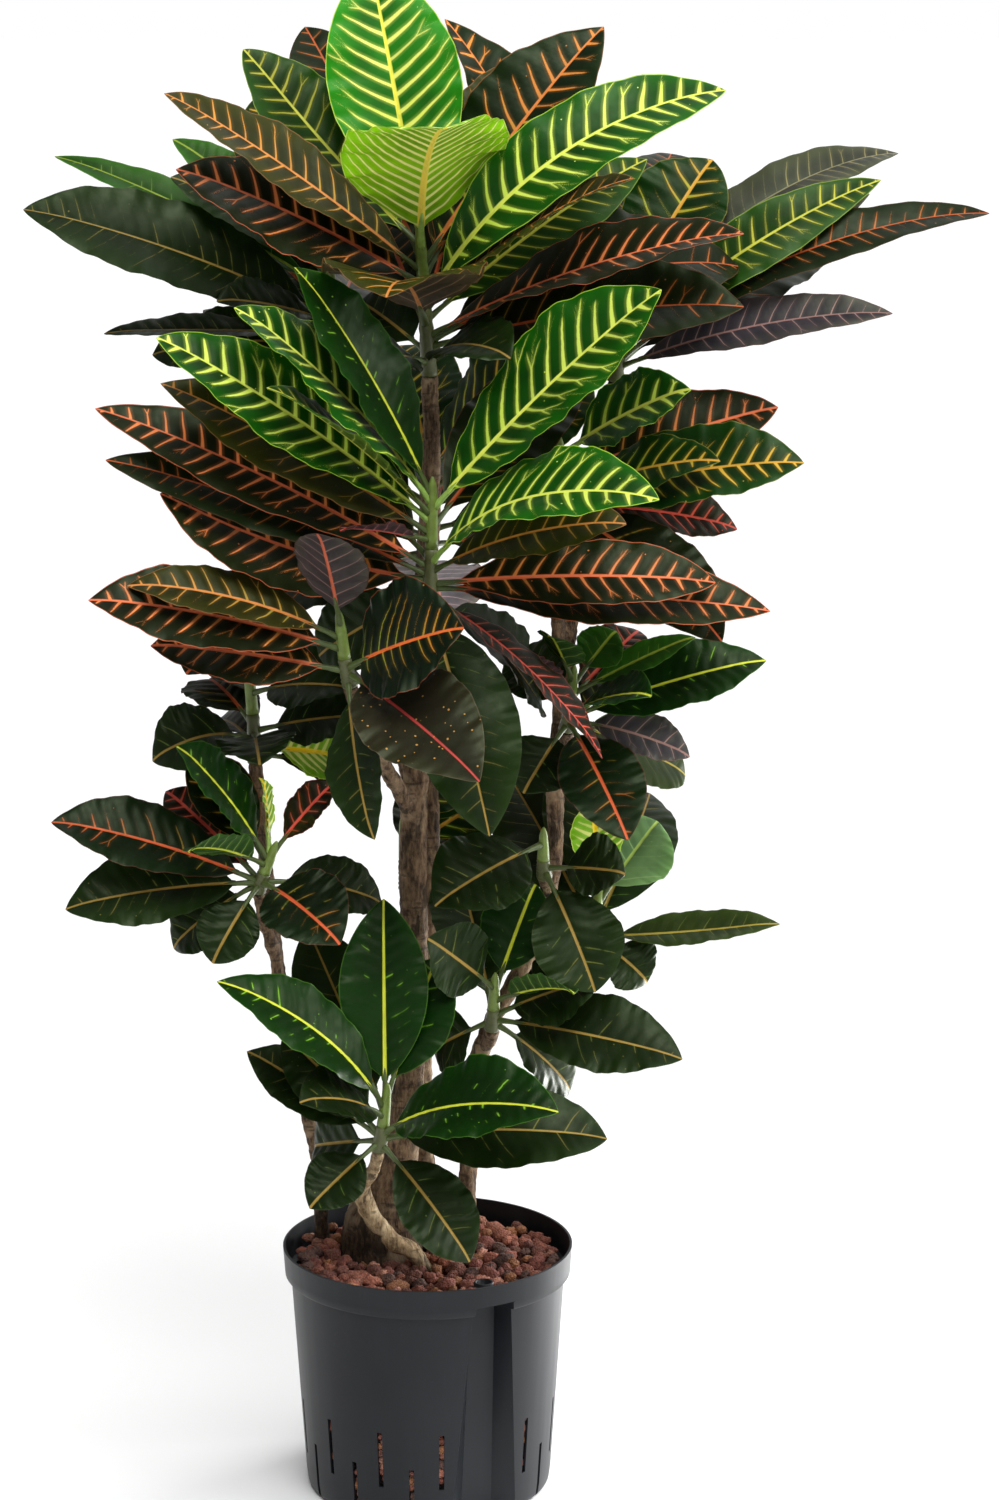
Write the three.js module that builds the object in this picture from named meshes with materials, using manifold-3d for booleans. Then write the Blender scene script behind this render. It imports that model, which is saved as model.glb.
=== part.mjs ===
// A potted croton: a many-stemmed house plant with broad leaves striped along their veins, standing in
// a slotted hydroculture pot that is filled with coarse clay granules.
// Millimetres, +Z up. The origin is the middle of the pot's foot, and the plant's front faces -Y.
import * as THREE from "three";
import { mergeVertices } from "three/addons/utils/BufferGeometryUtils.js";
import Module from "manifold-3d";

const wasm = await Module();
wasm.setup();

// ---- Driving dimensions -------------------------------------------------------------------------
const GAP = 0.35; // clearance left between two pieces that touch on the real plant

const POT = {
  height: 190,
  rimRadius: 110,
  rimHeight: 23,
  rimTaper: 1.5,
  neckRadius: 104,
  footRadius: 93,
  footRound: 6,
  wall: 1.8,
  floor: 3,
  facets: 40,
};
// The upright recess in the pot's wall for a water-level gauge.
const RECESS = { angle: 28.5, top: 174, depth: 16, mouthTop: 31.5, mouthFoot: 56, backTop: 19.5, backFoot: 26 };
// Root slots, in two rows that alternate round the wall; angles are counted from the recess.
const SLOTS = {
  width: 3.8,
  pairs: 6,
  step: 27.7,
  tall: { first: 21.5, low: 29, high: 73 },
  short: { first: 35, low: -5, high: 45, pairs: 5 },
};
// The gauge's socket, a short stud with a dished top that stands up out of the granules over the recess.
const SOCKET = { out: 90, radius: 7.5, bore: 5.5, dish: 2.5, top: 187 };
const GRANULES = { level: 182, rings: 9, hump: 3.4 };

const LEAF = {
  petiole: 18, // from the stem's axis to the blade
  petioleHalfWidth: 2.6,
  petioleHalfThick: 2.2,
  midThick: 1.5,
  edgeThick: 0.8,
  fold: 12, // degrees that each half rises from flat
  foldSpread: 3,
  twist: 5, // degrees, base to tip, either way
  lean: 46, // degrees that a leaf pointing sideways turns its face to the front
  wave: 0.035, // height of the margin's waves, as a share of the leaf's width
  stations: [0.2, 0.5, 0.8, 1], // along the blade
  rearStations: [0.26, 0.7, 1], // of a leaf whose tip is further back than rearFrom
  rearFrom: 90,
  baseShape: 0.85, // how the blade's outline widens from its base
  tipShape: 0.8, // and narrows to its tip
};
// A shoot's stem, in millimetres; split and highest are shares of its length.
const STEM = {
  sides: 6,
  foot: 6,
  tip: 3.8,
  bud: 14,
  split: 0.6,
  highest: 0.98,
  lowest: 8,
  overJoint: 5,
  underJoint: 9,
};

// ---- The plant ------------------------------------------------------------------------------------
// Wood: limbs as [x, y, z, radius] points. The last point of a limb is where a leafy shoot stands.
const WOOD = {
  trunk_main: [
    [[-34, 16, 90, 24], [-36, 22, 172, 34], [-34, 20, 205, 29], [-24, 10, 248, 17], [-16, 2, 300, 13],
      [-10, 0, 388, 12], [-9, 0, 512, 11.5], [-4, -2, 620, 10.5], [3, 5, 740, 9], [5, 0, 800, 8],
      [4, -5, 850, 7]],
    [[-6, 0, 590, 8], [-4, -30, 630, 8], [2, -52, 660, 7.5], [4, -62, 686, 7]],
    [[-9, 0, 520, 7], [-32, -40, 575, 7], [-46, -68, 612, 7], [-52, -80, 636, 6.5]],
  ],
  trunk_left: [
    [[-80, 34, 90, 6.5], [-82, 30, 178, 7], [-83, 14, 240, 7], [-95, -10, 324, 6.5], [-111, -20, 417, 6.5],
      [-120, -8, 500, 6.5], [-126, 0, 563, 6.5]],
    [[-111, -20, 417, 6], [-118, -38, 450, 6], [-122, -52, 478, 6]],
  ],
  trunk_right: [
    [[26, 22, 90, 9], [28, 20, 175, 9], [30, 18, 230, 8.5], [42, 8, 345, 8], [75, 10, 410, 8],
      [94, 10, 480, 7.5], [97, 12, 560, 7.5], [106, 45, 650, 7.5], [126, 100, 750, 7], [141, 90, 836, 6.5]],
    [[42, 8, 340, 6.5], [47, -10, 352, 6.5], [49, -24, 366, 6.5]],
    [[70, 10, 400, 6], [102, 34, 402, 6], [124, 52, 408, 6]],
    [[94, 10, 455, 6], [90, -6, 470, 6], [88, -16, 480, 6]],
    [[98, 10, 560, 6.5], [102, -2, 577, 6.5], [104, -10, 590, 6.5]],
    [[101, 28, 605, 6.5], [98, 40, 680, 6.5], [103, 50, 736, 6.5]],
  ],
  trunk_back: [
    [[2, 62, 90, 9], [0, 62, 175, 9], [-5, 62, 300, 8.5], [2, 80, 450, 8], [0, 100, 590, 8],
      [0, 116, 690, 7]],
    [[1, 79, 440, 6.5], [-28, 80, 600, 6.5], [-58, 76, 760, 6.5], [-68, 72, 860, 6.5]],
    [[-2, 72, 385, 6], [-14, 96, 415, 6], [-18, 108, 440, 6]],
  ],
  branch_front: [
    [[8, -22, 110, 6.5], [0, -24, 172, 7], [-12, -25, 192, 7.5], [-24, -28, 199, 8], [-35, -32, 213, 8],
      [-46, -38, 234, 8.5], [-48, -46, 249, 7.5], [-38, -64, 270, 6], [-34, -84, 291, 5.5]],
  ],
};

// Shoots: path holds the stem's points from its foot up. A leaf is one row:
// [the tip's x, y, z, width, arch, extra turn of its face to the front in degrees].
// arch is how far the middle of the leaf rises over a straight line, as a share of its length.
// The steeper a leaf stands, the higher it springs from the stem.
const SHOOTS = {
  top: {
    path: [[4, -5, 850], [1, -12, 900], [-2, -20, 950]],
    leaves: [
      [-38, 30, 1142, 98, 0.03, 0],
      [18, -130, 1032, 122, 0.14, 0],
      [-128, -10, 1082, 70, -0.03, 0],
      [217, -10, 1062, 68, 0.22, 8],
      [163, 60, 1003, 60, 0.05, 0],
      [129, 25, 1098, 88, 0.04, 0],
      [-88, 60, 1098, 84, 0.03, 0],
      [107, 75, 1083, 90, 0.05, 0],
      [-178, -60, 1053, 58, 0.03, 0],
      [146, -105, 997, 58, 0.05, -10],
      [-173, -40, 1000, 88, 0.04, 0],
      [-22, -160, 920, 118, 0.12, -8],
      [232, -25, 925, 104, 0.12, 0],
      [224, -85, 958, 74, 0.05, 0],
      [227, -60, 905, 92, 0.06, 0],
      [62, -95, 872, 64, 0.1, 0],
      [-45, -75, 866, 60, 0.08, 0],
      [50, 170, 1040, 84, 0.08, 0],
      [-60, 175, 985, 84, 0.1, 0],
      [-50, 60, 899, 76, 0.05, 10],
    ],
  },
  top_left: {
    path: [[-68, 72, 860], [-70, 71, 890], [-71, 70, 930]],
    leaves: [
      [-188, 100, 1016, 38, 0.05, 0],
      [-278, 75, 1003, 34, 0.06, 0],
      [-126, 92, 1045, 90, 0.02, 0],
      [-291, 30, 968, 78, 0.06, 10],
      [-186, 60, 990, 46, 0.05, 0],
      [-150, 15, 903, 46, 0.05, 0],
      [-238, 60, 876, 36, 0.01, -20],
      [-205, 80, 858, 60, 0.05, 0],
      [-60, 235, 1015, 84, 0.08, 0],
      [-190, 205, 960, 84, 0.1, 0],
      [-60, 265, 900, 80, 0.1, 0],
      [-165, 225, 870, 80, 0.12, 0],
    ],
  },
  top_right: {
    path: [[141, 90, 836], [145, 88, 862], [147, 88, 892]],
    leaves: [
      [339, 40, 986, 48, 0.13, 0],
      [358, 120, 1004, 52, 0.14, -10],
      [214, 135, 1000, 80, 0.05, 0],
      [16, 80, 1103, 84, 0.03, 0],
      [332, 60, 975, 66, 0.05, -20],
      [420, 58, 962, 46, 0.13, 0],
      [343, 42, 892, 46, 0.07, 0],
      [190, 260, 1000, 84, 0.08, 0],
      [70, 250, 960, 84, 0.08, 0],
      [310, 215, 930, 84, 0.1, 0],
      [150, 290, 870, 80, 0.12, 0],
    ],
  },
  mid_right: {
    path: [[103, 50, 736], [102, 54, 757], [100, 58, 785]],
    leaves: [
      [194, 25, 838, 70, 0.05, 0],
      [276, 0, 787, 78, 0.05, 0],
      [214, -12, 790, 58, 0.06, 0],
      [264, 45, 818, 62, 0.05, -5],
      [233, 70, 730, 52, 0.05, 0],
      [191, 50, 710, 52, 0.05, 0],
      [50, 190, 815, 84, 0.08, 0],
      [215, -60, 665, 70, 0.1, 0],
    ],
  },
  middle: {
    path: [[4, -62, 686], [6, -74, 725], [7, -80, 772]],
    leaves: [
      [165, -118, 921, 98, 0.03, 0],
      [-127, -105, 909, 92, 0.05, 0],
      [-86, -40, 935, 74, 0.04, 0],
      [-103, -155, 858, 55, 0.04, -20],
      [162, -200, 787, 80, 0.14, 0],
      [-182, -112, 888, 78, 0.04, 0],
      [-182, -90, 854, 70, 0.04, 0],
      [-232, 0, 833, 60, 0.05, 0],
      [142, -140, 762, 62, 0.08, 0],
      [208, -25, 712, 58, 0.04, 0],
      [-225, -40, 797, 50, 0.05, 0],
      [-184, -95, 775, 90, -0.08, 0],
      [248, -75, 690, 64, 0.02, 0],
      [-56, -135, 757, 38, 0.03, -40],
      [129, -115, 591, 46, 0.06, -40],
      [48, -60, 540, 80, 0.08, 0],
      [110, 45, 850, 76, 0.06, 0],
      [-120, 35, 820, 76, 0.06, 0],
      [98, -50, 600, 84, 0.08, 0],
      [-78, -10, 649, 64, 0.06, 30],
    ],
  },
  back: {
    path: [[0, 116, 690], [0, 124, 725], [1, 130, 765]],
    whorl: { count: 10, from: -18, to: 178, length: 185, rise: [55, -36], width: 82 },
  },
  mid_left: {
    path: [[-52, -80, 636], [-55, -86, 652], [-58, -92, 680]],
    leaves: [
      [-70, -150, 757, 58, 0.03, 0],
      [29, -150, 690, 94, 0.06, 30],
      [-207, -85, 714, 50, 0.08, -10],
      [-234, -112, 704, 72, 0.05, 0],
      [41, -185, 589, 84, 0.06, 0],
      [-193, -92, 668, 60, 0.03, 0],
      [-34, -118, 541, 50, 0.04, 40],
      [-30, 0, 590, 50, 0.05, 0],
    ],
  },
  left_mid: {
    path: [[-126, 0, 563], [-127, -2, 592], [-130, -4, 635]],
    leaves: [
      [-172, -50, 640, 72, 0.15, -10],
      [-52, -48, 628, 60, 0.08, 0],
      [-200, -35, 572, 62, 0.22, 0],
      [-118, -74, 578, 60, 0.08, 0],
      [-45, -20, 602, 55, 0.05, 0],
      [-60, 70, 560, 60, 0.05, 0],
      [-40, 40, 542, 55, 0.05, 0],
      [-150, 130, 630, 70, 0.08, 0],
      [-168, 80, 612, 62, 0.08, 0],
      [-170, 120, 560, 66, 0.12, 0],
      [-85, 60, 650, 60, 0.06, 0],
    ],
  },
  left_low: {
    path: [[-122, -52, 478], [-118, -56, 490], [-112, -60, 505]],
    leaves: [
      [-117, -62, 565, 34, 0.02, 0],
      [-175, -88, 594, 60, 0.05, 0],
      [-64, -62, 562, 36, 0.04, 0],
      [-165, -140, 530, 42, 0.06, -50],
      [-171, -35, 578, 50, 0.05, 0],
      [-191, -22, 547, 50, 0.05, 0],
      [-268, -80, 537, 62, 0.06, 0],
      [-59, -120, 456, 68, 0.1, 0],
      [-30, -35, 464, 52, 0.12, 0],
      [-260, -80, 472, 64, 0.06, 0],
      [-186, -50, 434, 54, 0.08, 0],
      [-153, -92, 434, 48, 0.08, 0],
      [-190, 45, 528, 60, 0.08, 0],
    ],
  },
  front_low: {
    path: [[-34, -84, 291], [-31, -90, 307], [-28, -95, 332]],
    leaves: [
      [-30, -60, 474, 66, 0.03, 0],
      [-147, -122, 430, 58, 0.14, 0],
      [9, -85, 430, 62, 0.04, 0],
      [96, -178, 350, 78, 0.12, 0],
      [-87, -152, 349, 60, 0.1, 0],
      [-131, -62, 360, 50, 0.04, 0],
      [-104, -36, 372, 58, 0.05, 0],
      [133, -112, 309, 72, 0.08, 0],
      [-83, -125, 260, 46, 0.05, 0],
      [34, -118, 216, 58, 0.08, 0],
      [-88, 25, 440, 64, 0.06, 0],
      [-85, -40, 279, 56, 0.06, 35],
    ],
  },
  inner_low: {
    path: [[49, -24, 366], [50, -32, 380], [51, -42, 402]],
    leaves: [
      [81, -22, 476, 56, 0.03, 0],
      [109, -105, 417, 40, 0.06, -55],
      [128, -55, 412, 68, 0.05, 0],
      [4, -92, 452, 58, 0.03, 60],
      [188, -82, 360, 66, 0.04, 0],
      [109, 45, 314, 60, 0.08, 0],
      [20, 45, 480, 70, 0.05, 0],
      [4, -5, 343, 60, 0.06, 25],
    ],
  },
  right_inner: {
    path: [[88, -16, 480], [87, -22, 492], [87, -28, 508]],
    leaves: [
      [8, -95, 478, 72, 0.06, 0],
      [147, -38, 488, 56, 0.05, 0],
      [125, -66, 405, 70, 0.08, 0],
    ],
  },
  right_back: {
    path: [[124, 52, 408], [127, 56, 424], [130, 60, 446]],
    leaves: [
      [125, 62, 522, 46, 0.02, 0],
      [176, 84, 500, 70, 0.03, 0],
      [265, 20, 436, 38, -0.02, -14],
      [175, 190, 500, 68, 0.08, 0],
      [52, 170, 530, 74, 0.06, 0],
      [112, 150, 535, 64, 0.05, 0],
      [168, 40, 383, 50, 0.12, 0],
    ],
  },
  right_mid: {
    path: [[104, -10, 590], [106, -16, 604], [108, -22, 628]],
    leaves: [
      [91, -60, 670, 44, 0.03, 0],
      [162, -92, 632, 50, 0.06, 0],
      [197, -22, 662, 26, 0.03, 0],
      [250, -12, 643, 60, 0.05, 0],
      [140, -10, 664, 40, 0.03, 0],
      [62, -75, 655, 44, 0.03, -30],
      [160, 15, 654, 50, 0.03, 0],
      [195, -25, 573, 40, 0.08, 0],
      [146, -112, 531, 62, 0.06, 0],
      [197, 55, 542, 62, 0.04, 20],
      [72, -55, 552, 56, 0.05, 0],
      [190, 130, 620, 70, 0.08, 0],
      [70, 30, 650, 56, 0.06, 0],
    ],
  },
  back_low: {
    path: [[-18, 108, 440], [-19, 114, 458], [-20, 120, 482]],
    whorl: { count: 7, from: 10, to: 92, length: 135, rise: [55, -40], width: 66 },
  },
};

const COLOURS = {
  pot: { color: 0x3a3e42, roughness: 0.42 },
  granules: { color: 0x7a4030, roughness: 0.95 },
  wood: { color: 0x6b5a48, roughness: 0.9 },
  upper: { color: 0x4f9a1e, roughness: 0.35 },
  lower: { color: 0x1e3420, roughness: 0.35 },
};

// ---- Solids and meshes ------------------------------------------------------------------------------
const vec = (p) => new THREE.Vector3(p[0], p[1], p[2]);
const radians = THREE.MathUtils.degToRad;

// A closed geometry as a manifold-3d solid.
function solid(geometry) {
  const bare = geometry.index ? geometry.toNonIndexed() : geometry.clone();
  const only = new THREE.BufferGeometry().setAttribute("position", bare.getAttribute("position"));
  const merged = mergeVertices(only, 1e-3);
  const corners = [];
  for (let i = 0; i < merged.index.count; i += 3) {
    const [a, b, c] = merged.index.array.subarray(i, i + 3);
    if (a !== b && b !== c && c !== a) corners.push(a, b, c);
  }
  return new wasm.Manifold(
    new wasm.Mesh({
      numProp: 3,
      vertProperties: merged.attributes.position.array,
      triVerts: new Uint32Array(corners),
    }),
  );
}

function mesh(name, made, look) {
  const m = made.getMesh();
  const geometry = new THREE.BufferGeometry();
  const positions = new Float32Array(m.numVert * 3);
  for (let i = 0; i < m.numVert; i++) {
    positions.set(m.vertProperties.subarray(i * m.numProp, i * m.numProp + 3), i * 3);
  }
  geometry.setAttribute("position", new THREE.BufferAttribute(positions, 3));
  geometry.setIndex(new THREE.BufferAttribute(m.triVerts, 1));
  geometry.computeVertexNormals();
  const shown = new THREE.Mesh(geometry, new THREE.MeshStandardMaterial({ metalness: 0, ...look }));
  shown.name = name;
  return shown;
}

// The biggest single body of a solid, without the scraps that a cut leaves.
const largest = (made) => made.decompose().sort((a, b) => b.volume() - a.volume())[0];

// A closed skin over rings of points. Quads that start at a ring place in `turned` are split the other way.
function loft(rings, turned = []) {
  const around = rings[0].length;
  const faces = [];
  rings.slice(1).forEach((_, i) => {
    for (let j = 0; j < around; j++) {
      const next = (j + 1) % around;
      const [a, b] = [i * around + j, i * around + next];
      const [c, d] = [a + around, b + around];
      if (turned.includes(j)) faces.push([a, b, d], [a, d, c]);
      else faces.push([a, b, c], [b, d, c]);
    }
  });
  const end = (rings.length - 1) * around;
  for (let j = 1; j < around - 1; j++) faces.push([0, j + 1, j], [end, end + j, end + j + 1]);
  const points = rings.flat();
  const volume = faces.reduce((sum, [a, b, c]) => sum + points[a].dot(points[b].clone().cross(points[c])), 0);
  const order = volume < 0 ? faces.map(([a, b, c]) => [a, c, b]) : faces;
  const geometry = new THREE.BufferGeometry().setFromPoints(points);
  geometry.setIndex(order.flat());
  return geometry;
}

// A round stem along smooth points, with a radius for each point, from share `from` to share `to` of it.
function stem(points, radii, sides, from = 0, to = 1) {
  const curve = new THREE.CatmullRomCurve3(points.map(vec), false, "centripetal");
  const steps = Math.max(2, Math.round((points.length - 1) * (to - from)));
  const rings = [];
  for (let i = 0; i <= steps; i++) {
    const share = from + ((to - from) * i) / steps;
    const place = Math.min(share * (points.length - 1), points.length - 1.001);
    const at = Math.floor(place);
    const radius = THREE.MathUtils.lerp(radii[at], radii[at + 1], place - at);
    const along = curve.getTangent(share);
    const across = new THREE.Vector3(0, 1, 0).cross(along).normalize();
    const away = along.clone().cross(across);
    const middle = curve.getPoint(share);
    rings.push(
      [...Array(sides).keys()].map((k) => {
        const turn = (2 * Math.PI * k) / sides;
        return middle
          .clone()
          .addScaledVector(across, radius * Math.cos(turn))
          .addScaledVector(away, radius * Math.sin(turn));
      }),
    );
  }
  return loft(rings);
}

// ---- Leaves -------------------------------------------------------------------------------------------
// One seeded row of draws serves the whole plant, so that a leaf keeps its own wave, fold and twist.
let seed = 2024;
const draw = (low, high) => {
  seed = (seed * 16807) % 2147483647;
  return low + ((high - low) * seed) / 2147483647;
};

const outlinePeak =
  (LEAF.baseShape / (LEAF.baseShape + LEAF.tipShape)) ** LEAF.baseShape *
  (LEAF.tipShape / (LEAF.baseShape + LEAF.tipShape)) ** LEAF.tipShape;
const halfWidth = (along, width) =>
  ((width / 2) * along ** LEAF.baseShape * (1 - along) ** LEAF.tipShape) / outlinePeak;

// The leaf's axes: the chord from base to tip, the way its face looks, and across it. `turn` brings the
// face round towards the front of the plant.
function leafAxes(chord, turn) {
  const c = chord.clone().normalize();
  const face = new THREE.Vector3(0, 0, 1).addScaledVector(c, -c.z);
  if (face.length() < 0.05) face.set(0, -1, 0).addScaledVector(c, c.y);
  face.normalize();
  const side = c.clone().cross(face);
  const angle = radians(turn + LEAF.lean * Math.abs(side.y)) * (side.y > 0 ? -1 : 1);
  const turned = face.clone().multiplyScalar(Math.cos(angle)).addScaledVector(side, Math.sin(angle));
  return { face: turned, side: c.clone().cross(turned) };
}

// A leaf as a closed solid: its stalk, then a blade of two thin halves folded up along the midrib.
// `extra` thickens it, for telling how near it comes to others.
function leafSolid(leaf, extra = 0, bladeOnly = false) {
  const { base, tip, width, arch, turn, wave } = leaf;
  const chord = tip.clone().sub(base);
  const length = chord.length();
  const stalkShare = LEAF.petiole / length;
  const { face, side } = leafAxes(chord, turn);
  const ring = (t, half, rise, midThick, edgeThick) => {
    const bow = 4 * arch * length;
    const middle = base.clone().addScaledVector(chord, t).addScaledVector(face, bow * t * (1 - t));
    const heading = chord.clone().addScaledVector(face, bow * (1 - 2 * t)).normalize();
    const twist = radians(leaf.twist) * (t - stalkShare);
    const up = side.clone().cross(heading);
    const across = side.clone().multiplyScalar(Math.cos(twist)).addScaledVector(up, Math.sin(twist));
    const normal = across.clone().cross(heading);
    const point = (y, lift, thick) =>
      middle.clone().addScaledVector(across, y).addScaledVector(normal, lift + thick);
    const reach = half * Math.cos(radians(leaf.fold));
    const [left, right] = rise;
    const [mid, edge] = [midThick / 2 + extra, edgeThick && edgeThick / 2 + extra];
    return [
      point(-reach, left, edge), point(0, 0, mid), point(reach, right, edge),
      point(reach, right, -edge), point(0, 0, -mid), point(-reach, left, -edge),
    ];
  };
  const stalk = [LEAF.petioleHalfWidth, [0, 0], 2 * LEAF.petioleHalfThick, 0];
  const rings = bladeOnly ? [] : [ring(0, ...stalk), ring(stalkShare, ...stalk)];
  (leaf.rear ? LEAF.rearStations : LEAF.stations).forEach((along) => {
    const half = Math.max(halfWidth(along, width), 1);
    const height = LEAF.wave * width * Math.min(1, (2 * half) / width);
    const rolling = 2 * Math.PI * wave.count * along + wave.phase;
    const waves = [0, Math.PI * 0.7].map((lag) => height * Math.sin(rolling + lag));
    const folded = half * Math.sin(radians(leaf.fold));
    const t = stalkShare + (1 - stalkShare) * along;
    rings.push(ring(t, half, waves.map((w) => folded + w), LEAF.midThick, along < 1 ? LEAF.edgeThick : 0));
  });
  return solid(loft(rings, [3, 4]));
}

// The rows of a whorl that fills a side of the plant: leaves spread from angle `from` to `to`, counted
// anticlockwise from +X, the first steep and the last level.
function whorlRows(path, { count, from, to, length, rise, width }) {
  return [...Array(count).keys()].map((k) => {
    const share = k / (count - 1);
    const angle = radians(from + (to - from) * ((k * 0.618) % 1) + draw(-6, 6));
    const lift = radians(rise[0] + (rise[1] - rise[0]) * share);
    const reach = length * draw(0.9, 1.1);
    const [x, y, z] = path[1];
    return [
      x + reach * Math.cos(lift) * Math.cos(angle), y + reach * Math.cos(lift) * Math.sin(angle),
      z + reach * Math.sin(lift), width, 0.07, 0,
    ];
  });
}

// Each row with its place up the stem, by how steeply it stands.
function placed(rows, curve) {
  const axis = curve.getTangent(1);
  const middle = curve.getPoint(0.5);
  const steepness = (row) => vec(row).sub(middle).normalize().dot(axis);
  const order = [...rows].sort((a, b) => steepness(b) - steepness(a));
  const length = curve.getLength();
  const above = Math.round(rows.length * (1 - STEM.split));
  const spread = (from, to, count, k) => THREE.MathUtils.lerp(to, from, count > 1 ? k / (count - 1) : 0);
  return rows.map((row) => {
    const k = order.indexOf(row);
    const at = k < above
      ? spread(STEM.split + STEM.overJoint / length, STEM.highest, above, k)
      : spread(STEM.lowest / length, STEM.split - STEM.underJoint / length, rows.length - above, k - above);
    return [at, ...row];
  });
}

// Where a leaf may go if its place is taken: steps of its tip in x, y and z, and a turn of its face,
// from the least to the most that it changes how the plant looks from the front.
const eitherWay = (...steps) => [0, ...steps.flatMap((step) => [step, -step])];
const TRIES = eitherWay(10, 22)
  .flatMap((x) => eitherWay(12, 25, 40, 60, 85).map((y) => [x, y]))
  .flatMap((xy) => eitherWay(8, 16, 26, 38).map((z) => [...xy, z]))
  .flatMap((xyz) => eitherWay(15).map((turn) => [...xyz, turn]))
  .map(([x, y, z, turn]) => [x, y, z, turn, Math.abs(x) + Math.abs(y) / 4 + Math.abs(z) + Math.abs(turn) / 3])
  .filter((step) => step[4] < 50)
  .sort((a, b) => a[4] - b[4]);

const clash = (a, b) => {
  const [p, q] = [a.boundingBox(), b.boundingBox()];
  if ([0, 1, 2].some((i) => p.min[i] > q.max[i] || q.min[i] > p.max[i])) return 0;
  return a.intersect(b).volume();
};

// ---- Pot and granules ---------------------------------------------------------------------------------
const onAxis = (profile) => {
  const outline = profile.map(([x, y]) => new THREE.Vector2(x, y));
  return new THREE.LatheGeometry(outline, POT.facets).rotateX(Math.PI / 2);
};

const wallRadius = (z) => {
  const slope = (POT.neckRadius - POT.footRadius) / (POT.height - POT.rimHeight);
  return POT.footRadius + slope * z;
};

// A point that lies x outwards and y sideways in the direction of the gauge recess.
const toRecess = (x, y) => {
  const turn = radians(RECESS.angle) - Math.PI / 2;
  return new THREE.Vector2(x * Math.cos(turn) - y * Math.sin(turn), x * Math.sin(turn) + y * Math.cos(turn));
};

// The space of the gauge recess, grown by `extra`: a tapered channel that is widest at the foot.
function recess(extra) {
  const section = (z, mouth, back) => {
    const radius = wallRadius(z);
    const [wide, narrow] = [mouth / 2 + extra, back / 2 + extra];
    const deep = radius - RECESS.depth - extra;
    const outline = [
      [radius + 20, wide], [radius - 2, wide], [deep, narrow],
      [deep, -narrow], [radius - 2, -wide], [radius + 20, -wide],
    ];
    return outline.map(([x, y]) => {
      const p = toRecess(x, y);
      return new THREE.Vector3(p.x, p.y, z);
    });
  };
  const foot = section(-10, RECESS.mouthFoot, RECESS.backFoot);
  return solid(loft([foot, section(RECESS.top + extra, RECESS.mouthTop, RECESS.backTop)]));
}

function potSolid() {
  const { height, rimRadius, rimHeight, rimTaper, neckRadius, footRadius, footRound, wall, floor } = POT;
  const neck = height - rimHeight;
  const body = solid(
    onAxis([
      [0, 0], [footRadius - footRound, 0], [footRadius, footRound], [neckRadius, neck],
      [rimRadius - rimTaper, neck + 1], [rimRadius, height], [0, height],
    ]),
  );
  const inside = solid(
    onAxis([
      [0, floor], [footRadius - footRound, floor], [footRadius - wall, footRound + floor],
      [neckRadius - wall, neck - 2], [rimRadius - 2 * wall, neck + 4],
      [rimRadius - 2 * wall, height + 5], [0, height + 5],
    ]),
  );
  let made = body.subtract(recess(0)).subtract(inside.subtract(recess(wall)));
  const collar = socketPost(SOCKET.radius, RECESS.top + wall / 2, SOCKET.top);
  made = made.add(collar.subtract(socketPost(SOCKET.bore, SOCKET.top - SOCKET.dish)));
  const slot = (angle, low, high) => {
    const box = new THREE.BoxGeometry(44, SLOTS.width, high - low).translate(footRadius, 0, (low + high) / 2);
    return solid(box.rotateZ(radians(angle) - Math.PI / 2));
  };
  const row = ({ first, low, high, pairs = SLOTS.pairs }) => {
    for (let k = 0; k < pairs; k++) {
      [1, -1].forEach((hand) => {
        made = made.subtract(slot(RECESS.angle + hand * (first + SLOTS.step * k), low, high));
      });
    }
  };
  row(SLOTS.tall);
  row(SLOTS.short);
  return largest(made);
}

// An upright round post at the gauge's socket.
function socketPost(radius, low = RECESS.top - 1, high = SOCKET.top + 20) {
  const at = toRecess(SOCKET.out, 0);
  const post = new THREE.CylinderGeometry(radius, radius, high - low, 10).rotateX(Math.PI / 2);
  return solid(post.translate(at.x, at.y, (low + high) / 2));
}

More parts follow.
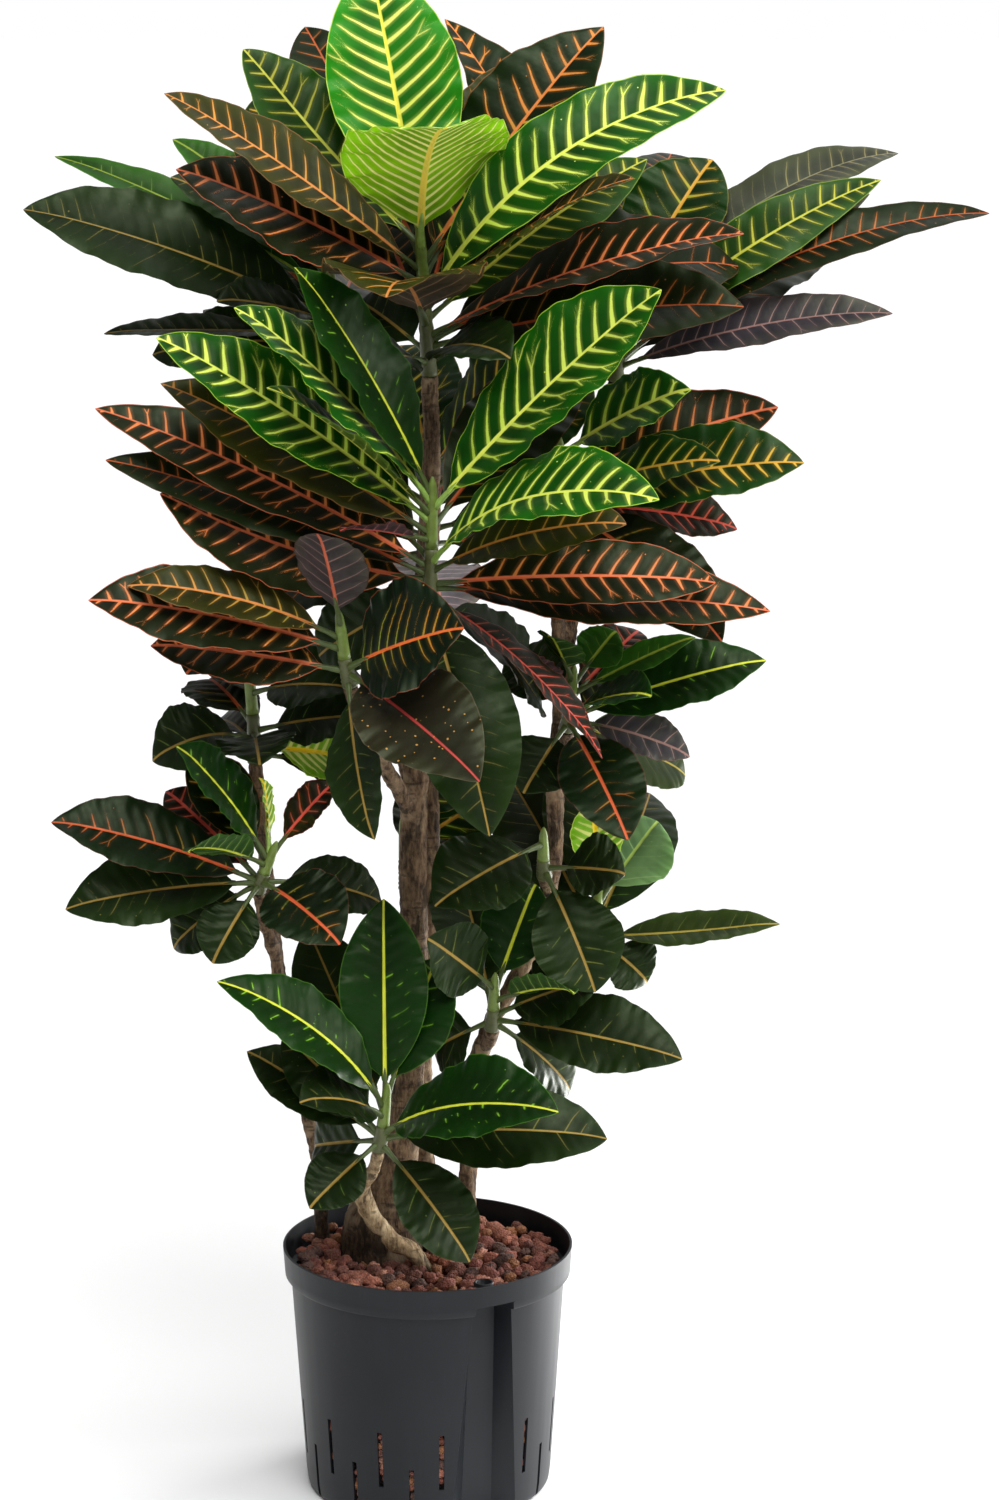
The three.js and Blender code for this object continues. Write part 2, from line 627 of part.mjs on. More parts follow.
// The filling: a block of granules that takes the pot's inner shape, with a pebbly top and a plain hole
// for each woody stem.
function fillingSolid(stems) {
  const { footRadius, footRound, neckRadius, wall, floor } = POT;
  const inner = wall + 2 * GAP;
  const top = wallRadius(GRANULES.level - 6) - inner;
  const rings = [];
  for (let i = 0; i <= GRANULES.rings; i++) {
    const around = Math.max(1, 6 * i);
    const edge = i === GRANULES.rings;
    for (let k = 0; k < around; k++) {
      const turn = (2 * Math.PI * (k + (edge ? 0 : draw(-0.25, 0.25)))) / around;
      const out = (top * (i + (edge || !i ? 0 : draw(-0.25, 0.25)))) / GRANULES.rings;
      const hump = ((k + i) % 2 ? 1 : -0.6) * GRANULES.hump * draw(0.4, 1);
      const level = GRANULES.level + (edge ? -6 : hump);
      rings.push(new THREE.Vector3(out * Math.cos(turn), out * Math.sin(turn), level));
    }
  }
  const faces = [];
  const start = (i) => (i ? 3 * i * (i - 1) + 1 : 0);
  for (let i = 1; i <= GRANULES.rings; i++) {
    for (let sector = 0; sector < 6; sector++) {
      for (let k = 0; k < i; k++) {
        const outer = (n) => start(i) + ((sector * i + n) % (6 * i));
        const inside = (n) => (i === 1 ? 0 : start(i - 1) + ((sector * (i - 1) + n) % (6 * (i - 1))));
        faces.push(outer(k), outer(k + 1), inside(k));
        if (k) faces.push(inside(k - 1), outer(k), inside(k));
      }
    }
  }
  const rim = 6 * GRANULES.rings;
  const levels = [[footRadius - inner, footRound + floor], [footRadius - footRound - inner, floor + GAP]];
  levels.forEach(([out, z], n) => {
    const above = start(GRANULES.rings) + n * rim;
    for (let k = 0; k < rim; k++) {
      const turn = (2 * Math.PI * k) / rim;
      rings.push(new THREE.Vector3(out * Math.cos(turn), out * Math.sin(turn), z));
      const [a, b] = [above + k, above + ((k + 1) % rim)];
      faces.push(a, a + rim, b, b, a + rim, b + rim);
    }
  });
  rings.push(new THREE.Vector3(0, 0, floor + GAP));
  const last = start(GRANULES.rings) + 2 * rim;
  for (let k = 0; k < rim; k++) faces.push(last + ((k + 1) % rim), last + k, rings.length - 1);
  const block = new THREE.BufferGeometry().setFromPoints(rings);
  block.setIndex(faces);
  const made = solid(block).subtract(socketPost(SOCKET.radius + GAP));
  return largest(made.subtract(wasm.Manifold.union(stems)).subtract(recess(inner)));
}

// ---- Assembly -------------------------------------------------------------------------------------------
const plant = new THREE.Group();
plant.name = "potted_croton";

const stemRadii = (path, extra) =>
  path.map((_, i) => THREE.MathUtils.lerp(STEM.foot, STEM.tip, i / (path.length - 1)) + extra);

// The lower and the upper stretch of each shoot's stem, the upper ending in a bud.
const shoots = Object.entries(SHOOTS).map(([name, shoot]) => {
  const { path } = shoot;
  const curve = new THREE.CatmullRomCurve3(path.map(vec), false, "centripetal");
  const leaves = placed(shoot.leaves ?? whorlRows(path, shoot.whorl), curve);
  const parts = { lower: [], upper: [] };
  const both = leaves.some((row) => row[0] > STEM.split);
  const bud = curve.getPoint(1).addScaledVector(curve.getTangent(1), STEM.bud).toArray();
  const [points, radii] = [[...path, bud], [...stemRadii(path, 0), 1]];
  const [end, gap] = [STEM.split * (1 - 1 / path.length), GAP / curve.getLength()];
  parts.lower.push(solid(stem(points, radii, STEM.sides, 0, both ? end : 1)));
  if (both) parts.upper.push(solid(stem(points, radii, STEM.sides, end + gap, 1)));
  return { name, curve, path, leaves, parts, both };
});

// What is cut from the wood at a shoot's foot, so that the two stand face to face with a gap between.
const cuts = shoots.map(({ curve }) => {
  const [foot, along] = [curve.getPoint(0), curve.getTangent(0)];
  const ends = [-GAP, STEM.foot].map((reach) => foot.clone().addScaledVector(along, reach).toArray());
  return solid(stem(ends, [2 * STEM.foot, 2 * STEM.foot], STEM.sides));
});

const wood = Object.entries(WOOD).map(([name, limbs]) => {
  const tubes = limbs.map((limb, i) => solid(stem(limb, limb.map((p) => p[3]), i ? 6 : 8)));
  let made = wasm.Manifold.union(tubes);
  cuts.forEach((cut) => {
    if (clash(made, cut) > 0) made = made.subtract(cut);
  });
  const hole = solid(stem(limbs[0], limbs[0].map((p) => p[3] + GAP), 8));
  return { name, made: largest(made), hole };
});

// Each leaf in its place, or bent as little as frees it from the leaves, stems and wood already there.
const CLEAR = 1.2; // mm of air kept round a leaf
const standing = wood.map(({ name, made }) => ({ node: name, whole: made, blade: null }));
shoots.forEach(({ name, parts }) => {
  Object.entries(parts).forEach(([age, list]) => {
    list.forEach((piece) => standing.push({ node: `${name}_${age}`, whole: piece, blade: null }));
  });
});
const keepOff = [[0, 0], [POT.rimRadius + 1, 0], [POT.rimRadius + 1, POT.height + 2], [0, POT.height + 2]];
standing.push({ node: "pot", whole: solid(onAxis(keepOff)), blade: null });

const rows = shoots
  .flatMap((shoot) => shoot.leaves.map((row) => ({ shoot, row })))
  .sort((a, b) => a.row[2] - b.row[2]);
rows.forEach(({ shoot, row }) => {
  const [at, x, y, z, width, arch, turn] = row;
  const part = at > STEM.split ? "upper" : "lower";
  const node = `${shoot.name}_${part}`;
  const leaf = {
    base: shoot.curve.getPoint(at),
    width,
    arch,
    turn,
    rear: y > LEAF.rearFrom,
    fold: LEAF.fold + draw(-LEAF.foldSpread, LEAF.foldSpread),
    twist: draw(-LEAF.twist, LEAF.twist),
    wave: { count: draw(1.4, 2.2), phase: draw(0, 2 * Math.PI) },
  };
  const asked = new THREE.Vector3(x, y, z);
  let best = null;
  for (const [right, back, up, more] of TRIES) {
    leaf.tip = asked.clone().add(new THREE.Vector3(right, back, up));
    leaf.turn = turn + more;
    const [whole, blade] = [leafSolid(leaf, CLEAR), leafSolid(leaf, CLEAR / 2, true)];
    let cost = 0;
    for (const other of standing) {
      if (other.node !== node) cost += clash(whole, other.whole);
      else if (other.blade) cost += clash(blade, other.blade);
      if (best && cost >= best.cost) break;
    }
    if (!best || cost < best.cost) best = { cost, tip: leaf.tip, turn: leaf.turn, whole, blade };
    if (best.cost < 0.01) break;
  }
  leaf.tip = best.tip;
  leaf.turn = best.turn;
  standing.push({ node, whole: best.whole, blade: best.blade });
  shoot.parts[part].push(leafSolid(leaf));
});

plant.add(mesh("pot", potSolid(), COLOURS.pot));
plant.add(mesh("granules", fillingSolid(wood.map(({ hole }) => hole)), COLOURS.granules));
wood.forEach(({ name, made }) => plant.add(mesh(name, made, COLOURS.wood)));
shoots.forEach(({ name, parts, both }) => {
  plant.add(mesh(`${name}_lower`, largest(wasm.Manifold.union(parts.lower)), COLOURS.lower));
  if (both) plant.add(mesh(`${name}_upper`, largest(wasm.Manifold.union(parts.upper)), COLOURS.upper));
});

export default plant;
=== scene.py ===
# A potted croton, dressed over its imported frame. Metres, +Z up, the plant's front faces -Y.
# Leaves, stems and bark follow the same rules as the frame's solids, so their sizes are in millimetres here
# too, and MM turns them into metres.
import itertools
import math
import random

import bmesh
import bpy
import numpy as np
from mathutils import Matrix, Vector, kdtree, noise


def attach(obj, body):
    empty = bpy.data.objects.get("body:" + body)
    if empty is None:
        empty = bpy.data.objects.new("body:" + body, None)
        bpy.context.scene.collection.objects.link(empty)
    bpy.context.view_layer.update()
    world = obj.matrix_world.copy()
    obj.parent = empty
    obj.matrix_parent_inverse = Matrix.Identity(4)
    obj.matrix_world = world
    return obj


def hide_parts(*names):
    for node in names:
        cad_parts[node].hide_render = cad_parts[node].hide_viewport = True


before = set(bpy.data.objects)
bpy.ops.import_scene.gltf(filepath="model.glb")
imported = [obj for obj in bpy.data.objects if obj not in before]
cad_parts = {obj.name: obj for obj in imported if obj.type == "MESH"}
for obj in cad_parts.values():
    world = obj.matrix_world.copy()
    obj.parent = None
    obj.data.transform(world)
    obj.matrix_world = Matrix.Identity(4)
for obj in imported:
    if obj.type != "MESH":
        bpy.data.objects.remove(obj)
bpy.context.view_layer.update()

MM = 0.001

# ---- Camera, light and floor, in metres and degrees -----------------------------------------------------
CAMERA = {"place": (0.055, -2.6, 1.106), "pitch": 11.6, "lens": 86.1}
SUNS = {  # name: (azimuth it comes from, elevation, angular size, strength)
    "key": (14, 58, 40, 2.6),
    "side": (78, 20, 40, 1.7),
    "back": (150, 45, 60, 0.7),
}
SOFTBOX = {"place": (0.62, 0.42, 0.24), "size": 0.4, "power": 9.0}  # behind on the right
SKY = 0.26
BACKGROUND = 1.0
FLOOR_HALF = 160_000  # half the floor's side, in mm

# ---- The plant's own sizes, as in the frame's source, in mm and degrees ---------------------------------
POT = {
    "height": 190,
    "rim_radius": 110,
    "rim_height": 23,
    "rim_taper": 1.5,
    "neck_radius": 104,
    "foot_radius": 93,
    "foot_round": 6,
    "wall": 1.9,
    "edge_round": 0.55,
    "least_edge": 38,  # edges that turn by more are rounded
    "panels": 110,  # round the wall between its first and last slot
    "apart": 1.0,  # least angle from a panel's edge to a slot's
}
RECESS = {
    "angle": 28.5,
    "top": 174,
    "depth": 16,
    "mouth_top": 31.5,
    "mouth_foot": 56,
    "back_top": 19.5,
    "back_foot": 26,
    "below": 10,
    "shut_edge": 9.5,  # half the angle that the recess's points take up in the wall above it
}
GAUGE_TURN = math.radians(RECESS["angle"] - 90)  # where the recess looks, round from +X
FLANK = 3  # points of the wall between the recess and the first slot
PANEL = 5  # steps along each of the recess's three sides
SLOTS = {
    "width": 3.8,
    "at_radius": 96,
    "step": 27.7,
    "tall": {"first": 21.5, "low": 29, "high": 73, "pairs": 6},
    "short": {"first": 35, "low": 0, "high": 45, "pairs": 5},
}
SOCKET = {"out": 90, "radius": 7.5, "bore": 5.5, "top": 187, "foot": 174.5, "depth": 10, "sides": 40}
GRANULES = {
    "seed": 41,
    "level": 182,
    "radii": (4.0, 8.8),
    "crowd": 1.7,  # the higher, the more small ones
    "sink": 0.35,  # share of its radius by which each sits lower
    "spread": (-1.8, 2.2),  # and by how much it's off that height
    "layers": [(11, 0.8, 700), (3, 0.84, 3600)],  # depth under the level, how close they lie, tries
    "heap": 4,  # how far they're heaped up against the pot's left side
    "over_recess": 5.2,  # radius of the largest one over the gauge recess
    "slot_radii": (3.4, 6.0),  # behind the slots
    "lumps": [(0.4, 1.3), (0.24, 3.4)],  # height and fineness, for a radius of 1
    "stretch": [(0.85, 1.25), (0.85, 1.1), (0.75, 0.98)],
    "shade": (0.75, 1.3),
    "tones": [(166, 102, 84), (182, 116, 94), (154, 92, 76), (140, 84, 72), (192, 134, 112), (126, 80, 68),
              (170, 114, 78), (106, 78, 70)],
    # the bed's near-black tone is painted shade, for the gaps between the granules
    "bed_shade_tone": (34, 22, 18),
}
BED = {"sides": 72, "foot": 5, "inset": 5.0, "recess_half_angle": 17}

LEAF = {
    "petiole": 18,
    "fold": 12,
    "fold_spread": 3,
    "twist": 5,
    "lean": 46,
    "wave": 0.035,
    "waves": (1.4, 2.2),
    "base_shape": 0.85,
    "tip_shape": 0.8,
    "mid_thick": 1.5,
}
BLADE = {
    "along": 61,  # stations along it
    "uneven": 0.35,  # share by which they crowd towards the tip
    "base_more": (0.0, 0.1),  # how much further than the frame's leaf it may round off at its base
    "tip_more": (-0.02, 0.1),  # and at its tip
    "across": [0, 0.035, 0.08, 0.15, 0.25, 0.37, 0.5, 0.63, 0.76, 0.88, 0.96, 1],  # midrib to margin
    "foot_half": 2.2,
    "tip_half": 0.25,
    "half_thick": 0.35,
    "ruffle": 0.018,  # height of the margin's small waves, per mm of its width
    "tip_drop": 2.5,  # how far the tip hangs under the arch
    "drop_from": 0.82,
    "puckers": (0.35, 0.85),  # height of the pleats between side veins
    "groove": (-0.5, 2.2),  # height and half width over the midrib
    "ridge": (1.3, 1.8),  # and of the midrib, underneath
    "ground_shade": (0.82, 1.2),
    "vein_shade": (0.85, 1.15),
}
VEIN_SLANT = 0.45  # how far a side vein runs forward for each mm outwards
VEIN_BEND = 0.006  # and how it bends towards the tip, per mm
PETIOLE = {
    "span": (0.15, 1.7),
    "radii": [2.6, 2.5, 2.2, 2.0, 1.9, 1.8, 1.6, 1.2, 0.6],
    "drop": [0, 0, 0, 0, 0.2, 0.6, 1.0, 1.2, 1.2],
}
PETIOLE_COLOURS = {
    "crown": (164, 196, 104), "bright": (146, 182, 84), "lime": (160, 196, 96), "other": (76, 92, 40),
}
STEM_COLOURS = {"lower": (82, 88, 46), "upper": (112, 134, 56)}
STEM = {
    "foot": 6,
    "tip": 3.8,
    "end": 0.8,
    "bud": 14,
    "bud_swell": (0.8, 0.72),  # how much wider, and from where on
    "scars": (0.35, 90),  # height of the old leaf scars, and how close they lie
    "stations": 15,
    "split": 0.6,
    "highest": 0.98,
    "lowest": 8,
    "over_joint": 5,
    "under_joint": 9,
}

BARK = {"step": 6, "sides": 20, "voxel": 1.7, "smooth": (0.5, 4), "sunk": 1.1}
# Knots, rings and flutes: how high they are, and how many there are to the metre across and along a stem.
BARK_FORMS = [(1.1, 70, 40), (0.7, 25, 260), (0.8, 190, 18)]

# Woody plants: for each limb, points in the middle of its stem and its radius there.
WOOD = {
    "trunk_main": [
        [[-34, 16, 90, 24], [-36, 22, 172, 34], [-34, 20, 205, 29], [-24, 10, 248, 17],
         [-16, 2, 300, 13], [-10, 0, 388, 12], [-9, 0, 512, 11.5], [-4, -2, 620, 10.5], [3, 5, 740, 9],
         [5, 0, 800, 8], [4, -5, 850, 7]],
        [[-6, 0, 590, 8], [-4, -30, 630, 8], [2, -52, 660, 7.5], [4, -62, 686, 7]],
        [[-9, 0, 520, 7], [-32, -40, 575, 7], [-46, -68, 612, 7], [-52, -80, 636, 6.5]],
    ],
    "trunk_left": [
        [[-80, 34, 90, 6.5], [-82, 30, 178, 7], [-83, 14, 240, 7], [-95, -10, 324, 6.5],
         [-111, -20, 417, 6.5], [-120, -8, 500, 6.5], [-126, 0, 563, 6.5]],
        [[-111, -20, 417, 6], [-118, -38, 450, 6], [-122, -52, 478, 6]],
    ],
    "trunk_right": [
        [[26, 22, 90, 9], [28, 20, 175, 9], [30, 18, 230, 8.5], [42, 8, 345, 8], [75, 10, 410, 8],
         [94, 10, 480, 7.5], [97, 12, 560, 7.5], [106, 45, 650, 7.5], [126, 100, 750, 7],
         [141, 90, 836, 6.5]],
        [[42, 8, 340, 6.5], [47, -10, 352, 6.5], [49, -24, 366, 6.5]],
        [[70, 10, 400, 6], [102, 34, 402, 6], [124, 52, 408, 6]],
        [[94, 10, 455, 6], [90, -6, 470, 6], [88, -16, 480, 6]],
        [[98, 10, 560, 6.5], [102, -2, 577, 6.5], [104, -10, 590, 6.5]],
        [[101, 28, 605, 6.5], [98, 40, 680, 6.5], [103, 50, 736, 6.5]],
    ],
    "trunk_back": [
        [[2, 62, 90, 9], [0, 62, 175, 9], [-5, 62, 300, 8.5], [2, 80, 450, 8], [0, 100, 590, 8],
         [0, 116, 690, 7]],
        [[1, 79, 440, 6.5], [-28, 80, 600, 6.5], [-58, 76, 760, 6.5], [-68, 72, 860, 6.5]],
        [[-2, 72, 385, 6], [-14, 96, 415, 6], [-18, 108, 440, 6]],
    ],
    "branch_front": [
        [[8, -22, 110, 6.5], [0, -24, 172, 7], [-12, -25, 192, 7.5], [-24, -28, 199, 8],
         [-35, -32, 213, 8], [-46, -38, 234, 8.5], [-48, -46, 249, 7.5], [-38, -64, 270, 6],
         [-34, -84, 291, 5.5]],
    ],
}

# The green stem of each shoot, from its foot to its top.
STEMS = {
    "top": [[4, -5, 850], [1, -12, 900], [-2, -20, 950]],
    "top_left": [[-68, 72, 860], [-70, 71, 890], [-71, 70, 930]],
    "top_right": [[141, 90, 836], [145, 88, 862], [147, 88, 892]],
    "mid_right": [[103, 50, 736], [102, 54, 757], [100, 58, 785]],
    "middle": [[4, -62, 686], [6, -74, 725], [7, -80, 772]],
    "back": [[0, 116, 690], [0, 124, 725], [1, 130, 765]],
    "mid_left": [[-52, -80, 636], [-55, -86, 652], [-58, -92, 680]],
    "left_mid": [[-126, 0, 563], [-127, -2, 592], [-130, -4, 635]],
    "left_low": [[-122, -52, 478], [-118, -56, 490], [-112, -60, 505]],
    "front_low": [[-34, -84, 291], [-31, -90, 307], [-28, -95, 332]],
    "inner_low": [[49, -24, 366], [50, -32, 380], [51, -42, 402]],
    "right_inner": [[88, -16, 480], [87, -22, 492], [87, -28, 508]],
    "right_back": [[124, 52, 408], [127, 56, 424], [130, 60, 446]],
    "right_mid": [[104, -10, 590], [106, -16, 604], [108, -22, 628]],
    "back_low": [[-18, 108, 440], [-19, 114, 458], [-20, 120, 482]],
}
# Shoots at the back, whose leaves follow a rule: their number, the angles and the reach that they take up,
# how steeply the first and the last rise, their width, and how many are young.
WHORLS = {
    "back": {
        "count": 10, "from": -18, "to": 178, "length": 185, "rise": [55, -36], "width": 82, "young": 3,
    },
    "back_low": {
        "count": 7, "from": 10, "to": 92, "length": 135, "rise": [55, -40], "width": 66, "young": 3,
    },
}
WHORL_ARCH = 0.07
WHORL_SWAY = 6
WHORL_REACH = (0.9, 1.1)
GOLDEN = 0.618  # share of the whorl's angles from one leaf to the next
# For each leaf of the other shoots: its tip's x, y and z, its width, its arch, its colouring, which is
# a name in COLOURING, and for some the extra turn of the face to the front.
LEAVES = {
    "top": [
        [-38, 30, 1142, 98, 0.03, "crown"], [18, -130, 1032, 122, 0.14, "lime"],
        [-128, -10, 1082, 70, -0.03, "olive"], [217, -10, 1062, 68, 0.22, "bright", 8],
        [163, 60, 1003, 60, 0.05, "olive"], [129, 25, 1098, 88, 0.04, "orange"],
        [-88, 60, 1098, 84, 0.03, "dark"], [107, 75, 1083, 90, 0.05, "amber"],
        [-178, -60, 1053, 58, 0.03, "amber"], [146, -105, 997, 58, 0.05, "amber", -10],
        [-173, -40, 1000, 88, 0.04, "fire"], [-22, -160, 920, 118, 0.12, "amber", -8],
        [232, -25, 925, 104, 0.12, "dark"], [224, -85, 958, 74, 0.05, "fire"],
        [227, -60, 905, 92, 0.06, "dark"], [62, -95, 872, 64, 0.1, "plain"],
        [-45, -75, 866, 60, 0.08, "plain"], [50, 170, 1040, 84, 0.08, "dark"],
        [-60, 175, 985, 84, 0.1, "dark"], [-50, 60, 899, 76, 0.05, "plain", 10],
    ],
    "top_left": [
        [-188, 100, 1016, 38, 0.05, "fresh"], [-278, 75, 1003, 34, 0.06, "fresh"],
        [-126, 92, 1045, 90, 0.02, "mid"], [-291, 30, 968, 78, 0.06, "plain", 10],
        [-186, 60, 990, 46, 0.05, "plain"], [-150, 15, 903, 46, 0.05, "plain"],
        [-238, 60, 876, 36, 0.01, "plain", -20], [-205, 80, 858, 60, 0.05, "plain"],
        [-60, 235, 1015, 84, 0.08, "dark"], [-190, 205, 960, 84, 0.1, "dark"],
        [-60, 265, 900, 80, 0.1, "dark"], [-165, 225, 870, 80, 0.12, "plain"],
    ],
    "top_right": [
        [339, 40, 986, 48, 0.13, "olive"], [358, 120, 1004, 52, 0.14, "sage", -10],
        [214, 135, 1000, 80, 0.05, "mid"], [16, 80, 1103, 84, 0.03, "orange"],
        [332, 60, 975, 66, 0.05, "sage", -20], [420, 58, 962, 46, 0.13, "dark"],
        [343, 42, 892, 46, 0.07, "mauve"], [190, 260, 1000, 84, 0.08, "dark"],
        [70, 250, 960, 84, 0.08, "dark"], [310, 215, 930, 84, 0.1, "dark"],
        [150, 290, 870, 80, 0.12, "dark"],
    ],
    "mid_right": [
        [194, 25, 838, 70, 0.05, "bright"], [276, 0, 787, 78, 0.05, "mid"],
        [214, -12, 790, 58, 0.06, "mid"], [264, 45, 818, 62, 0.05, "fire", -5],
        [233, 70, 730, 52, 0.05, "red"], [191, 50, 710, 52, 0.05, "red"],
        [50, 190, 815, 84, 0.08, "dark"], [215, -60, 665, 70, 0.1, "dark"],
    ],
    "middle": [
        [165, -118, 921, 98, 0.03, "bright"], [-127, -105, 909, 92, 0.05, "bright"],
        [-86, -40, 935, 74, 0.04, "green"], [-103, -155, 858, 55, 0.04, "olive", -20],
        [162, -200, 787, 80, 0.14, "bright"], [-182, -112, 888, 78, 0.04, "bright"],
        [-182, -90, 854, 70, 0.04, "amber"], [-232, 0, 833, 60, 0.05, "fire"],
        [142, -140, 762, 62, 0.08, "amber"], [208, -25, 712, 58, 0.04, "fire"],
        [-225, -40, 797, 50, 0.05, "dark"], [-184, -95, 775, 90, -0.08, "fire"],
        [248, -75, 690, 64, 0.02, "fire"], [-56, -135, 757, 38, 0.03, "red", -40],
        [129, -115, 591, 46, 0.06, "red", -40], [48, -60, 540, 80, 0.08, "plain"],
        [110, 45, 850, 76, 0.06, "dark"], [-120, 35, 820, 76, 0.06, "dark"],
        [98, -50, 600, 84, 0.08, "plain"], [-78, -10, 649, 64, 0.06, "plain", 30],
    ],
    "mid_left": [
        [-70, -150, 757, 58, 0.03, "ember"], [29, -150, 690, 94, 0.06, "striped", 30],
        [-207, -85, 714, 50, 0.08, "amber", -10], [-234, -112, 704, 72, 0.05, "fire"],
        [41, -185, 589, 84, 0.06, "speckled"], [-193, -92, 668, 60, 0.03, "fire"],
        [-34, -118, 541, 50, 0.04, "plain", 40], [-30, 0, 590, 50, 0.05, "plain"],
    ],
    "left_mid": [
        [-172, -50, 640, 72, 0.15, "dark", -10], [-52, -48, 628, 60, 0.08, "plain"],
        [-200, -35, 572, 62, 0.22, "plain"], [-118, -74, 578, 60, 0.08, "plain"],
        [-45, -20, 602, 55, 0.05, "plain"], [-60, 70, 560, 60, 0.05, "lime"],
        [-40, 40, 542, 55, 0.05, "plain"], [-150, 130, 630, 70, 0.08, "dark"],
        [-168, 80, 612, 62, 0.08, "dark"], [-170, 120, 560, 66, 0.12, "plain"],
        [-85, 60, 650, 60, 0.06, "plain"],
    ],
    "left_low": [
        [-117, -62, 565, 34, 0.02, "lime"], [-175, -88, 594, 60, 0.05, "green"],
        [-64, -62, 562, 36, 0.04, "red"], [-165, -140, 530, 42, 0.06, "green", -50],
        [-171, -35, 578, 50, 0.05, "orange"], [-191, -22, 547, 50, 0.05, "red"],
        [-268, -80, 537, 62, 0.06, "ember"], [-59, -120, 456, 68, 0.1, "ember"],
        [-30, -35, 464, 52, 0.12, "plain"], [-260, -80, 472, 64, 0.06, "plain"],
        [-186, -50, 434, 54, 0.08, "plain"], [-153, -92, 434, 48, 0.08, "plain"],
        [-190, 45, 528, 60, 0.08, "plain"],
    ],
    "front_low": [
        [-30, -60, 474, 66, 0.03, "green"], [-147, -122, 430, 58, 0.14, "green"],
        [9, -85, 430, 62, 0.04, "green"], [96, -178, 350, 78, 0.12, "green"],
        [-87, -152, 349, 60, 0.1, "plain"], [-131, -62, 360, 50, 0.04, "plain"],
        [-104, -36, 372, 58, 0.05, "plain"], [133, -112, 309, 72, 0.08, "plain"],
        [-83, -125, 260, 46, 0.05, "plain"], [34, -118, 216, 58, 0.08, "plain"],
        [-88, 25, 440, 64, 0.06, "plain"], [-85, -40, 279, 56, 0.06, "plain", 35],
    ],
    "inner_low": [
        [81, -22, 476, 56, 0.03, "green"], [109, -105, 417, 40, 0.06, "green", -55],
        [128, -55, 412, 68, 0.05, "plain"], [4, -92, 452, 58, 0.03, "plain", 60],
        [188, -82, 360, 66, 0.04, "plain"], [109, 45, 314, 60, 0.08, "plain"],
        [20, 45, 480, 70, 0.05, "plain"], [4, -5, 343, 60, 0.06, "plain", 25],
    ],
    "right_inner": [
        [8, -95, 478, 72, 0.06, "plain"], [147, -38, 488, 56, 0.05, "plain"],
        [125, -66, 405, 70, 0.08, "plain"],
    ],
    "right_back": [
        [125, 62, 522, 46, 0.02, "lime"], [176, 84, 500, 70, 0.03, "backlit"],
        [265, 20, 436, 38, -0.02, "moss", -14], [175, 190, 500, 68, 0.08, "plain"],
        [52, 170, 530, 74, 0.06, "plain"], [112, 150, 535, 64, 0.05, "plain"],
        [168, 40, 383, 50, 0.12, "plain"],
    ],
    "right_mid": [
        [91, -60, 670, 44, 0.03, "green"], [162, -92, 632, 50, 0.06, "green"],
        [197, -22, 662, 26, 0.03, "fresh"], [250, -12, 643, 60, 0.05, "green"],
        [140, -10, 664, 40, 0.03, "fresh"], [62, -75, 655, 44, 0.03, "red", -30],
        [160, 15, 654, 50, 0.03, "red"], [195, -25, 573, 40, 0.08, "mauve"],
        [146, -112, 531, 62, 0.06, "ember"], [197, 55, 542, 62, 0.04, "moss", 20],
        [72, -55, 552, 56, 0.05, "plain"], [190, 130, 620, 70, 0.08, "dark"],
        [70, 30, 650, 56, 0.06, "plain"],
    ],
}

